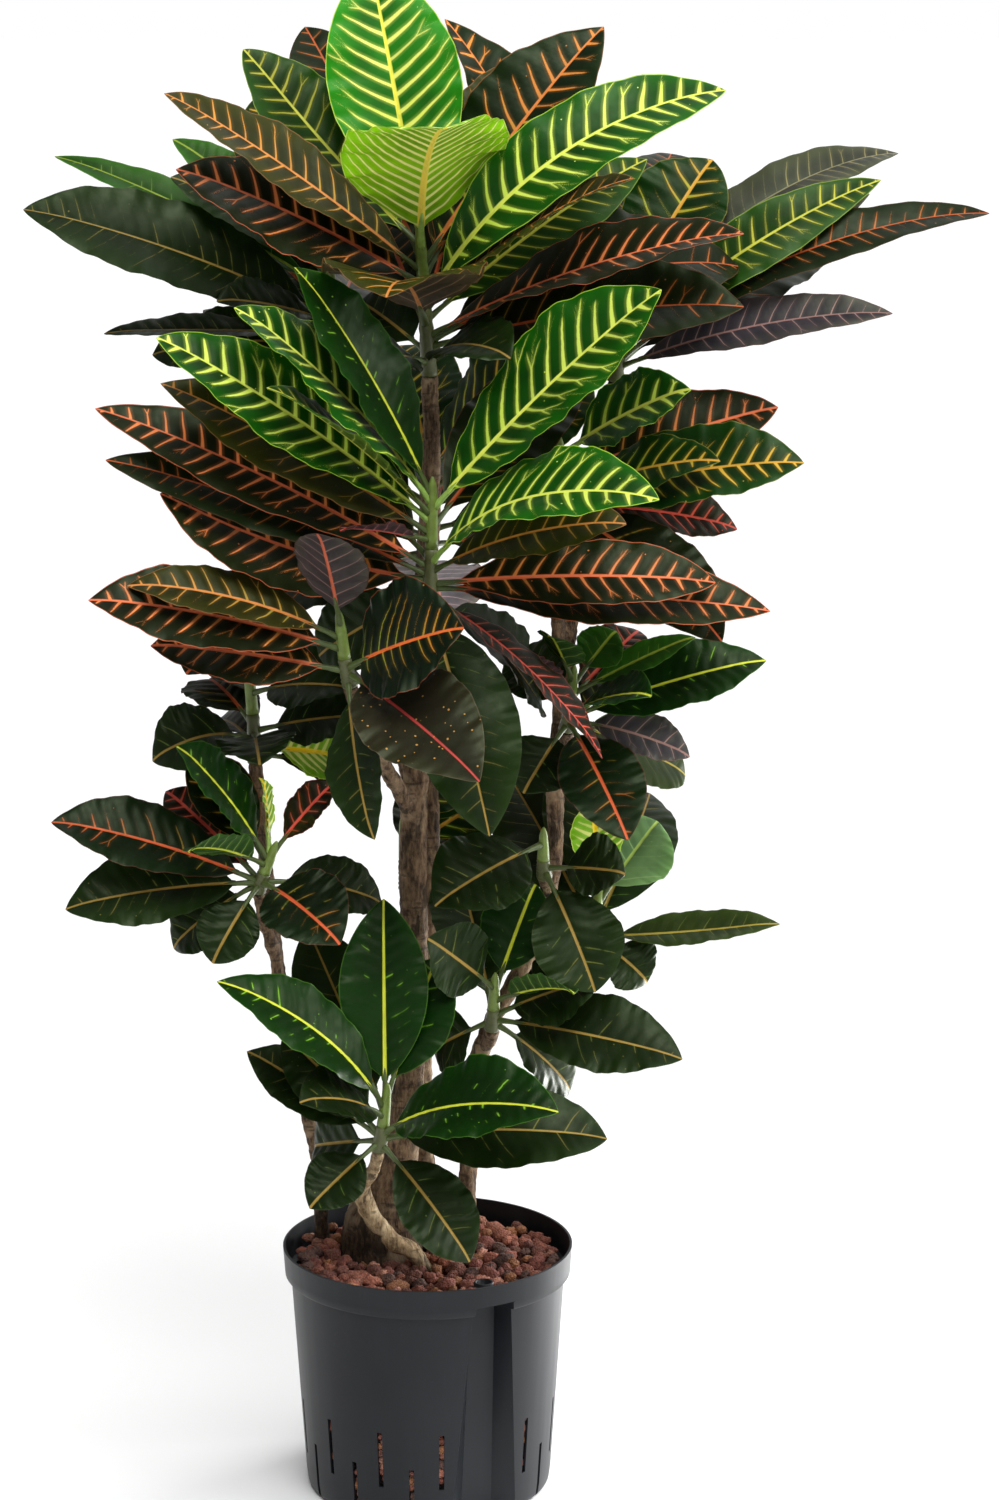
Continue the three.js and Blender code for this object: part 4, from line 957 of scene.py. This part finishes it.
def leaf_material(name, under):
    """Tapering side veins, some forked or broken, a midrib, a margin and flecks, in each leaf's colours."""
    n = Nodes(name)
    x, y, w = n.traits("place")
    spacing, shown, reach = n.traits("habit")
    width, seed, flecks = n.traits("habit_more")
    breaks, forks, glow = n.traits("habit_last")
    out, away = abs(y), abs(w)
    right = y > 0.0
    local_half = out / n.math("MAXIMUM", away, 0.02)
    flat = n.point(x, y, seed * 900.0)

    # The number of the nearest side vein, how far off it is, and three chances that belong to it.
    wander = n.noise(flat, 0.045, 1.0) - 0.5
    slant = out * VEIN_SLANT + out * out * VEIN_BEND
    shifted = x - slant + wander * 7.0 * n.math("MINIMUM", away, 1.0)
    phase = shifted / spacing + (right * 0.5 + seed)
    number = n.math("FLOOR", phase + 0.5)
    off = (phase - number) * spacing
    which = {"Vector": n.point(number, right, seed)}
    chances = n.node("TexWhiteNoise", which, noise_dimensions="3D")["Color"]
    a, b, c = n.parts(chances)

    if under:
        reach_here = a * 0.1 + 0.93
        width_here = width * 0.5 + 0.12
        strength = b * 0.2 + 0.78
        spread = 0.0
    else:
        present = n.ramp(shown - b, -0.04, 0.04)
        reach_here = reach + (a - 0.6) * 0.36
        width_here = width * (c * 0.6 + 0.6)
        threads = n.noise(n.point(out * 0.12, number * 7.3, seed + right), 1.0, 1.0)
        cut = breaks * 0.6
        whole = n.ramp(threads, cut - 0.05, cut + 0.05)
        strength = present * whole * n.ramp(a + c, 0.1, 0.7, 0.55, 1.0)
        past_fork = n.math("MAXIMUM", away - (reach_here - 0.26), 0.0)
        opening = past_fork * local_half * 0.4
        spread = opening * (forks > c)
    distance = abs(abs(off) * 0.88 - spread)
    thinning = n.ramp(away / n.math("MAXIMUM", reach_here, 0.1), 0.0, 1.0, 1.35, 0.4)
    edge = width_here * thinning
    side_vein = n.ramp(edge - distance, -0.25, 0.25)
    ends = n.ramp(reach_here - away, -0.04, 0.05)
    lateral = side_vein * ends * strength

    turning = n.ramp(x / 170.0 + n.noise(flat, 0.09) * 0.9, 0.45, 1.1)
    vein = n.mix(turning, n.attribute("vein"), n.attribute("far_vein"))
    ground = n.attribute("ground")
    deeper, fresher = n.tint(ground, (0.55, 0.6, 0.62)), n.tint(ground, (1.5, 1.7, 1.1))
    colour = n.mix(n.ramp(n.noise(flat, 0.03, 3.0), 0.35, 0.65), ground, deeper)
    outer = away * n.ramp(x, 0.0, 160.0, 0.5, 1.0)
    colour = n.mix(n.ramp(outer, 0.35, 0.9, 0.0, 0.7), colour, fresher)
    halo = n.ramp(distance - edge, 0.0, 2.4, 1.0, 0.0) * ends * strength
    colour = n.mix(halo * glow, colour, vein)
    if not under:
        spots = n.cells(flat, 0.2)
        lucky, size, _ = n.parts(spots["Color"])
        chosen = lucky < flecks * 0.28
        radius = size * 0.1 + 0.025 + flecks * 0.022
        fleck = n.ramp(radius - spots["Distance"], -0.02, 0.02)
        colour = n.mix(fleck * chosen * 0.8, colour, vein)
    colour = n.mix(lateral, colour, vein)

    rib_half = n.ramp(x, 0.0, 190.0, 1.9, 0.6) * (width * 0.6 + 0.45)
    rib = n.ramp(rib_half - out, -0.3, 0.3)
    fading = rib * n.ramp(n.noise(flat, 0.04), 0.25, 0.55, 0.7, 1.0)
    colour = n.mix(fading, colour, n.attribute("rib"))
    from_margin = (1.0 - away) * local_half
    colour = n.mix(n.ramp(from_margin, 0.3, 1.0, 0.85, 0.0), colour, n.attribute("rim"))

    fine = n.noise(n.point(x, y), 0.9, 3.0, 0.6)
    relief = lateral * (0.25 if under else -0.2) + fine * 0.12
    least, most = (0.5, 0.62) if under else (0.34, 0.48)
    return n.finish(
        base_color=colour,
        roughness=n.ramp(n.noise(flat, 0.12), 0.3, 0.7, least, most),
        specular_ior_level=0.22,
        specular_tint=(0.8, 0.95, 0.62),
        normal=n.bump(relief, 0.5 if under else 0.35, 0.0008),
    )


def stalk_material():
    """Green stems and stalks with darker streaks."""
    n = Nodes("green_stalks")
    streaks = n.noise(n.place(), 220.0, 3.0, 0.6)
    ground = n.attribute("ground")
    colour = n.mix(n.ramp(streaks, 0.35, 0.7, 0.0, 0.55), ground, n.tint(ground, (0.5, 0.46, 0.3)))
    return n.finish(base_color=colour, roughness=0.45, normal=n.bump(streaks, 0.3, 0.0006))


def bark_material(name, dark, light, scar, foot_darkening):
    """Bark: a fine upright grain between two tones, pale scars, thin rings, and a foot that turns darker
    towards the bottom.
    """
    n = Nodes(name)
    place = n.place()
    x, y, z = n.parts(place)
    drawn = n.point(x, y, z * 0.3)
    grain = n.noise(drawn, 240.0, 6.0, 0.7)
    rings = n.noise(n.point(x * 0.2, y * 0.2, z), 210.0)
    blotch = n.noise(place, 42.0, 4.0, 0.6)
    colour = n.mix(n.ramp(grain, 0.4, 0.64), linear(dark), linear(light))
    colour = n.mix(n.ramp(blotch, 0.52, 0.66, 0.0, 0.75), colour, linear(scar))
    cracks = n.ramp(n.noise(drawn, 95.0, 3.0, 0.6), 0.36, 0.43, 0.75, 0.0)
    lines = n.ramp(rings, 0.6, 0.68, 0.0, 0.6)
    colour = n.mix(n.math("MAXIMUM", cracks, lines), colour, linear((34, 26, 19)))
    # Darker towards the foot of each limb, from 0.25 m down to 0.18 m and below.
    colour = n.mix(n.ramp(z, 0.18, 0.25, foot_darkening, 0.0), colour, linear((40, 28, 18)))
    relief = n.bump(grain + rings * 0.6 - cracks * 0.8, 0.9, 0.0026)
    return n.finish(base_color=colour, roughness=0.88, specular_ior_level=0.3, normal=relief)


def pot_material():
    """Charcoal moulded plastic with a satin sheen, faint flow marks and a little dust."""
    n = Nodes("pot_plastic")
    place = n.place()
    x, y, z = n.parts(place)
    drawn = n.noise(n.point(x, y, z * 0.06), 60.0, 3.0)
    colour = n.mix(n.ramp(n.noise(place, 9.0, 3.0), 0.35, 0.7), linear((22, 24, 28)), linear((28, 31, 35)))
    colour = n.mix(n.ramp(drawn, 0.55, 0.75, 0.0, 0.2), colour, linear((46, 49, 55)))
    specks = n.ramp(n.cells(place, 420.0)["Distance"], 0.03, 0.09, 0.5, 0.0)
    dust = specks * n.ramp(n.noise(place, 25.0), 0.55, 0.7)
    colour = n.mix(dust, colour, linear((126, 120, 112)))
    rough = n.ramp(drawn, 0.3, 0.7, 0.36, 0.46) + dust * 0.2
    relief = n.bump(drawn, 0.12, 0.0006)
    return n.finish(base_color=colour, roughness=rough, specular_ior_level=0.26, normal=relief)


def clay_material():
    """Fired clay: red-brown with darker and greyer grains, pitted all over."""
    n = Nodes("clay_granules")
    place = n.place()
    tone = n.attribute("ground")
    grit = n.noise(place, 480.0, 4.0, 0.7)
    colour = n.mix(n.ramp(grit, 0.38, 0.66, 0.0, 0.7), tone, n.tint(tone, (0.3, 0.26, 0.24)))
    colour = n.mix(n.ramp(n.noise(place, 110.0, 3.0), 0.6, 0.72, 0.0, 0.5), colour, linear((150, 112, 92)))
    height = n.cells(place, 620.0)["Distance"] * 0.8 + grit * 0.7
    return n.finish(base_color=colour, roughness=0.92, normal=n.bump(height, 0.9, 0.0016))


def floor_material():
    n = Nodes("pale_floor")
    tone = n.ramp(n.noise(n.place(), 2.0), 0.3, 0.7, 0.86, 0.89)
    colour = n.node("CombineColor", {0: tone, 1: tone, 2: tone})[0]
    return n.finish(base_color=colour, roughness=0.8)


# ---- Pieces ---------------------------------------------------------------------------------------------
def put_on(piece, slot, *nodes):
    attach(piece, "root")
    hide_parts(*nodes)


def foliage(leaves):
    materials = [leaf_material("leaf_top", False), leaf_material("leaf_underside", True), stalk_material()]
    nodes = sorted(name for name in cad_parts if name.endswith(("_lower", "_upper")))
    for node in nodes:
        shoot, part = node.rsplit("_", 1)
        patches = Patches()
        shoot_stem(patches, STEMS[shoot], part)
        for leaf in leaves:
            if leaf["node"] == node:
                petiole(patches, leaf)
                blade(patches, leaf)
        piece = patches.build(f"{node}_foliage", materials)
        put_on(piece, "young_leaves" if part == "upper" else "old_leaves", node)


def limb_rings(limb):
    """Rings of points along a limb, as wide as its own radii."""
    curve = Curve(limb)
    share = np.linspace(0, 1, max(8, int(curve.length() / BARK["step"])) + 1)
    radii = np.interp(share * (len(limb) - 1), range(len(limb)), [point[3] for point in limb])
    turn = round_angles(BARK["sides"])[:, None]
    rings = []
    for s, r in zip(share, radii):
        heading = curve.heading(s)
        across = unit(np.cross([0, 1.0, 0], heading))
        rings.append(curve.at(s) + r * (across * np.cos(turn) + np.cross(heading, across) * np.sin(turn)))
    return rings


def wood(usual, pale):
    """Each woody plant: its limbs melted into one skin, then roughened with knots, rings and flutes."""
    for name, limbs in WOOD.items():
        points, faces = [], []
        for rings in map(limb_rings, limbs):
            faces += hoops(len(rings), BARK["sides"], start=len(points))
            points += np.concatenate(rings).tolist()
        piece = add_piece(f"{name}_bark", points, faces)
        melt = piece.modifiers.new("melt", "REMESH")
        melt.mode, melt.voxel_size, melt.use_smooth_shade = "VOXEL", BARK["voxel"] * MM, True
        smooth = piece.modifiers.new("smooth", "SMOOTH")
        smooth.factor, smooth.iterations = BARK["smooth"]
        graph = bpy.context.evaluated_depsgraph_get()
        skin = bpy.data.meshes.new_from_object(piece.evaluated_get(graph))
        piece.modifiers.clear()
        limbs_mesh, piece.data = piece.data, skin
        bpy.data.meshes.remove(limbs_mesh)
        roughen(skin)
        skin.materials.clear()
        skin.materials.append(pale if name == "branch_front" else usual)
        put_on(piece, "bark", name)


def roughen(skin):
    """Knots, leaf-scar rings and long shallow flutes, as moves of the skin along its normals."""
    points = np.empty(len(skin.vertices) * 3, np.float32)
    normals = np.empty_like(points)
    skin.vertices.foreach_get("co", points)
    skin.vertices.foreach_get("normal", normals)
    points, normals = points.reshape(-1, 3), normals.reshape(-1, 3)
    moves = [
        sum(high * noise.noise(Vector((x * wide, y * wide, z * long))) for high, wide, long in BARK_FORMS)
        for x, y, z in points
    ]
    points = points + normals * (np.array(moves) - BARK["sunk"])[:, None] * MM
    skin.vertices.foreach_set("co", points.astype(np.float32).ravel())
    skin.update()


def wall_radius(z):
    slope = (POT["neck_radius"] - POT["foot_radius"]) / (POT["height"] - POT["rim_height"])
    return POT["foot_radius"] + slope * z


def pot_levels():
    """(height, radius) up the outside of the pot, with every height at which a slot or the recess ends."""
    foot, neck, rim = POT["foot_round"], POT["height"] - POT["rim_height"], POT["rim_radius"]
    turns = np.linspace(0, math.pi / 2, 6)
    levels = [(foot * (1 - math.cos(t)), POT["foot_radius"] - foot * (1 - math.sin(t))) for t in turns]
    stops = {SLOTS["short"]["high"], SLOTS["tall"]["low"], SLOTS["tall"]["high"], *range(12, 160, 8)}
    levels += [(z, wall_radius(z)) for z in sorted(stops)]
    levels += [(neck, POT["neck_radius"]), (neck + 0.8, POT["neck_radius"] + 3.6)]
    levels += [(neck + 2, rim - POT["rim_taper"])]
    levels += [(RECESS["top"] + rise, rim - 1.1) for rise in (0, 0.4)]
    return levels + [(neck + 12, rim - 0.8), (POT["height"], rim)]


def slot_angles():
    """(angle from the recess, lowest, highest) of each slot."""
    found = []
    for size in (SLOTS["tall"], SLOTS["short"]):
        for k in range(size["pairs"]):
            angle = size["first"] + SLOTS["step"] * k
            found += [(angle, size["low"], size["high"]), (360 - angle, size["low"], size["high"])]
    return found


def pot_outline(z, radius, angles):
    """The outline of the pot's outside at one height, each point as x + y i."""
    share = (z + RECESS["below"]) / (RECESS["top"] + RECESS["below"])
    mouth = RECESS["mouth_foot"] + (RECESS["mouth_top"] - RECESS["mouth_foot"]) * share
    back = RECESS["back_foot"] + (RECESS["back_top"] - RECESS["back_foot"]) * share
    open_here = z <= RECESS["top"]
    edge = RECESS["shut_edge"]
    if open_here:
        edge = math.degrees(math.asin(min(mouth, RECESS["mouth_foot"]) / 2 / radius))
    flank = [edge + (angles[0] - edge) * k / FLANK for k in range(FLANK)]
    around = np.radians([*flank, *angles, *(360 - a for a in reversed(flank))])
    points = radius * np.exp(1j * around)
    if open_here:
        deep = wall_radius(z) - RECESS["depth"]
        corners = [points[-1], deep - back / 2 * 1j, deep + back / 2 * 1j, points[0]]
        inner = np.concatenate([np.linspace(a, b, PANEL + 1)[1:] for a, b in zip(corners, corners[1:])])[:-1]
    else:
        inner = radius * np.exp(1j * np.radians(np.linspace(-edge, edge, 3 * PANEL + 1)[1:-1]))
    return np.concatenate([points, inner]) * np.exp(1j * GAUGE_TURN)


def pot(material):
    """The pot as one skin with its slots left open, thickened inwards, its edges rounded."""
    half = math.degrees(SLOTS["width"] / 2 / SLOTS["at_radius"])
    slots = slot_angles()
    edges = [a + side for a, _, _ in slots for side in (-half, half)]
    fill = [
        a for a in np.linspace(min(edges), max(edges), POT["panels"] + 1)
        if min(abs(a - e) for e in edges) > POT["apart"] and not any(abs(a - s[0]) < half for s in slots)
    ]
    angles, levels = sorted(edges + fill), pot_levels()
    rows = [pot_outline(z, radius, angles) for z, radius in levels]

    def in_slot(row, k):
        if not FLANK <= k < len(angles) + FLANK - 1:
            return False
        angle = (angles[k - FLANK] + angles[k - FLANK + 1]) / 2
        z = (levels[row][0] + levels[row + 1][0]) / 2
        return any(abs(angle - a) < half and low <= z < high for a, low, high in slots)

    points = [(p.real, p.imag, z) for row, (z, _) in zip(rows, levels) for p in row]
    piece = add_piece("pot_shell", points, hoops(len(rows), len(rows[0]), lids=(0,), skip=in_slot), material)
    piece.data.polygons.foreach_set("use_smooth", [True] * len(piece.data.polygons))
    shell = piece.modifiers.new("thickness", "SOLIDIFY")
    shell.thickness, shell.offset, shell.use_even_offset = POT["wall"] * MM, -1, False
    rounding = piece.modifiers.new("rounding", "BEVEL")
    rounding.width, rounding.segments, rounding.limit_method = POT["edge_round"] * MM, 2, "ANGLE"
    rounding.angle_limit = math.radians(POT["least_edge"])
    rounding.harden_normals = True
    put_on(piece, "pot_plastic", "pot")


def socket(material):
    """The gauge's socket: a short round collar with a dark bore."""
    radius, bore, top, sides = (SOCKET[key] for key in ("radius", "bore", "top", "sides"))
    floor = top - SOCKET["depth"]
    profile = [
        (radius, SOCKET["foot"]), (radius, top - 0.6), (radius - 0.5, top), (bore + 0.4, top),
        (bore, top - 0.5), (bore, floor), (0.2, floor - 1),
    ]
    centre, circle = SOCKET["out"] * np.exp(1j * GAUGE_TURN), np.exp(1j * round_angles(sides))
    points = [(p.real, p.imag, z) for r, z in profile for p in centre + r * circle]
    piece = add_piece("gauge_socket", points, hoops(len(profile), sides, lids=(-1,)), material)
    smooth = [len(face.vertices) == 4 for face in piece.data.polygons]
    piece.data.polygons.foreach_set("use_smooth", smooth)
    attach(piece, "root")


def granule_spots(rng):
    """Middles and radii of the granules: two layers in the pot's mouth, and a file behind each slot."""
    spots = []
    least, largest = GRANULES["radii"]
    top_radius = wall_radius(GRANULES["level"]) - 3
    recess_back = wall_radius(RECESS["top"]) - RECESS["depth"]
    stems = [(limbs[0][0][0], limbs[0][0][1], limbs[0][1][3]) for limbs in WOOD.values()]
    for depth, spacing, tries in GRANULES["layers"]:
        layer = []
        level = GRANULES["level"] - depth
        for _ in range(tries):
            r = least + (largest - least) * rng.random() ** GRANULES["crowd"]
            out, angle = top_radius * math.sqrt(rng.random()), rng.uniform(0, 2 * math.pi)
            x, y = out * math.cos(angle), out * math.sin(angle)
            if out + r > top_radius:
                continue
            if any(math.hypot(x - sx, y - sy) < sr + r * 0.35 for sx, sy, sr in stems):
                continue
            if any(math.hypot(x - px, y - py) < spacing * (r + pr) for px, py, _, pr in layer):
                continue
            ahead, aside = out * math.cos(angle - GAUGE_TURN), out * math.sin(angle - GAUGE_TURN)
            over_recess = ahead > recess_back - r and abs(aside) < RECESS["mouth_top"] / 2 + r
            if over_recess and (level < RECESS["top"] or r > GRANULES["over_recess"]):
                continue
            heap = GRANULES["heap"] * max(0, -x / top_radius) * (out / top_radius) ** 2
            z = level + heap - GRANULES["sink"] * r + rng.uniform(*GRANULES["spread"])
            if over_recess:
                z = max(z, RECESS["top"] + POT["wall"] + 1.2 * r)
            layer.append((x, y, z, r))
        spots += layer
    for angle, low, high in slot_angles():
        z = low + 6
        while z < high:
            r = rng.uniform(*GRANULES["slot_radii"])
            a = GAUGE_TURN + math.radians(angle + rng.uniform(-1.5, 1.5))
            out = wall_radius(z) - POT["wall"] - r - 0.6
            spots.append((out * math.cos(a), out * math.sin(a), z, r))
            z += 1.3 * r
    return spots


def ball(subdivisions):
    """Points and faces of a ball with a radius of 1."""
    made = bmesh.new()
    bmesh.ops.create_icosphere(made, subdivisions=subdivisions, radius=1)
    points = np.array([v.co[:] for v in made.verts])
    faces = np.array([[v.index for v in f.verts] for f in made.faces])
    made.free()
    return points, faces


def granules(material):
    """Clay granules heaped over a plain bed painted dark as the shade between them, each a pitted lump of
    its own shape.
    """
    rng = random.Random(GRANULES["seed"])
    fine, plain = ball(3), ball(2)
    points, faces, tones, count = [], [], [], 0
    for x, y, z, r in granule_spots(rng):
        in_sight = z > GRANULES["level"] - 12 and y < 30
        form, sides = fine if in_sight else plain
        seed = Vector([rng.uniform(0, 50) for _ in range(3)])
        lumps = [
            1 + sum(high * noise.noise(Vector(p) * fineness + seed) for high, fineness in GRANULES["lumps"])
            for p in form
        ]
        stretch = [rng.uniform(*span) for span in GRANULES["stretch"]]
        spin, tilt = rng.uniform(0, 6.28), rng.uniform(-0.5, 0.5)
        turned = Matrix.Rotation(spin, 3, "Z") @ Matrix.Rotation(tilt, 3, "X")
        points.append((form * np.array(lumps)[:, None] * stretch * r) @ np.array(turned).T + [x, y, z])
        faces += (sides + count).tolist()
        count += len(form)
        tone = np.array(linear(rng.choice(GRANULES["tones"]))) * rng.uniform(*GRANULES["shade"])
        tones += [[*tone, 1]] * len(form)
    bed, bed_faces = granule_bed(count)
    # The bed is painted near-black, as the shade seen in the gaps between granules.
    tones += [[*linear(GRANULES["bed_shade_tone"]), 1]] * len(bed)
    piece = add_piece("granule_bed", np.concatenate([*points, bed]), faces + bed_faces, material)
    piece.data.polygons.foreach_set("use_smooth", [True] * len(piece.data.polygons))
    put_attribute(piece.data, "ground", "FLOAT_COLOR", tones)
    put_on(piece, "clay_granules", "granules")


def granule_bed(start):
    """The block under the loose top layers, a little inside the pot's wall and its recess."""
    sides, inset = BED["sides"], BED["inset"]
    levels = [(BED["foot"], 2 * inset), (BED["foot"] + 3, inset), (GRANULES["level"] - 14, inset)]
    points = []
    for z, inside in levels:
        for angle in round_angles(sides):
            radius = wall_radius(z) - inside
            swing = (math.degrees(angle - GAUGE_TURN) + 180) % 360 - 180
            if abs(swing) < BED["recess_half_angle"]:
                radius = min(radius, wall_radius(z) - RECESS["depth"] - inset)
            points.append((radius * math.cos(angle), radius * math.sin(angle), z))
    return points, hoops(len(levels), sides, start)


# ---- Stage ----------------------------------------------------------------------------------------------
def lamp(name, kind, away, **settings):
    """A light that shines back from the direction away."""
    light = bpy.data.lights.new(name, kind)
    for key, value in settings.items():
        setattr(light, key, value)
    made = add_object(name, light)
    made.rotation_euler = Vector(away).to_track_quat("Z", "Y").to_euler()
    return made


def stage():
    scene = bpy.context.scene
    scene.view_settings.view_transform = "Standard"
    corners = [(x * FLOOR_HALF, y * FLOOR_HALF, 0) for x, y in ((-1, -1), (1, -1), (1, 1), (-1, 1))]
    floor = add_piece("floor", corners, [(0, 1, 2, 3)], floor_material())

    camera = add_object("camera", bpy.data.cameras.new("camera"))
    camera.location = CAMERA["place"]
    camera.rotation_euler = (math.radians(90 - CAMERA["pitch"]), 0, 0)
    camera.data.lens = CAMERA["lens"]
    camera.data.sensor_width = 36
    scene.camera = camera

    for name, (azimuth, elevation, size, strength) in SUNS.items():
        a, e = math.radians(azimuth), math.radians(elevation)
        away = (math.sin(a) * math.cos(e), -math.cos(a) * math.cos(e), math.sin(e))
        lamp(name, "SUN", away, energy=strength, angle=math.radians(size))
    away = Vector(SOFTBOX["place"]) - Vector((0, 0, POT["height"] / 2 * MM))
    lamp("softbox", "AREA", away, size=SOFTBOX["size"], energy=SOFTBOX["power"]).location = SOFTBOX["place"]

    # The backdrop is brighter than the sky that lights the plant.
    scene.world = bpy.data.worlds.new("studio")
    scene.world.use_nodes = True
    tree = scene.world.node_tree
    sky, backdrop = tree.nodes["Background"], tree.nodes.new("ShaderNodeBackground")
    for shader, tone in ((sky, SKY), (backdrop, BACKGROUND)):
        shader.inputs["Color"].default_value = (tone, tone, tone, 1)
    rays, both = tree.nodes.new("ShaderNodeLightPath"), tree.nodes.new("ShaderNodeMixShader")
    tree.links.new(rays.outputs["Is Camera Ray"], both.inputs[0])
    tree.links.new(sky.outputs[0], both.inputs[1])
    tree.links.new(backdrop.outputs[0], both.inputs[2])
    tree.links.new(both.outputs[0], tree.nodes["World Output"].inputs["Surface"])


stage()
foliage(all_leaves())
wood(
    bark_material("bark", (66, 50, 36), (138, 112, 84), (170, 146, 116), 0.6),
    bark_material("pale_bark", (104, 84, 58), (186, 160, 122), (214, 192, 154), 0.0),
)
pot_finish = pot_material()
pot(pot_finish)
socket(pot_finish)
granules(clay_material())
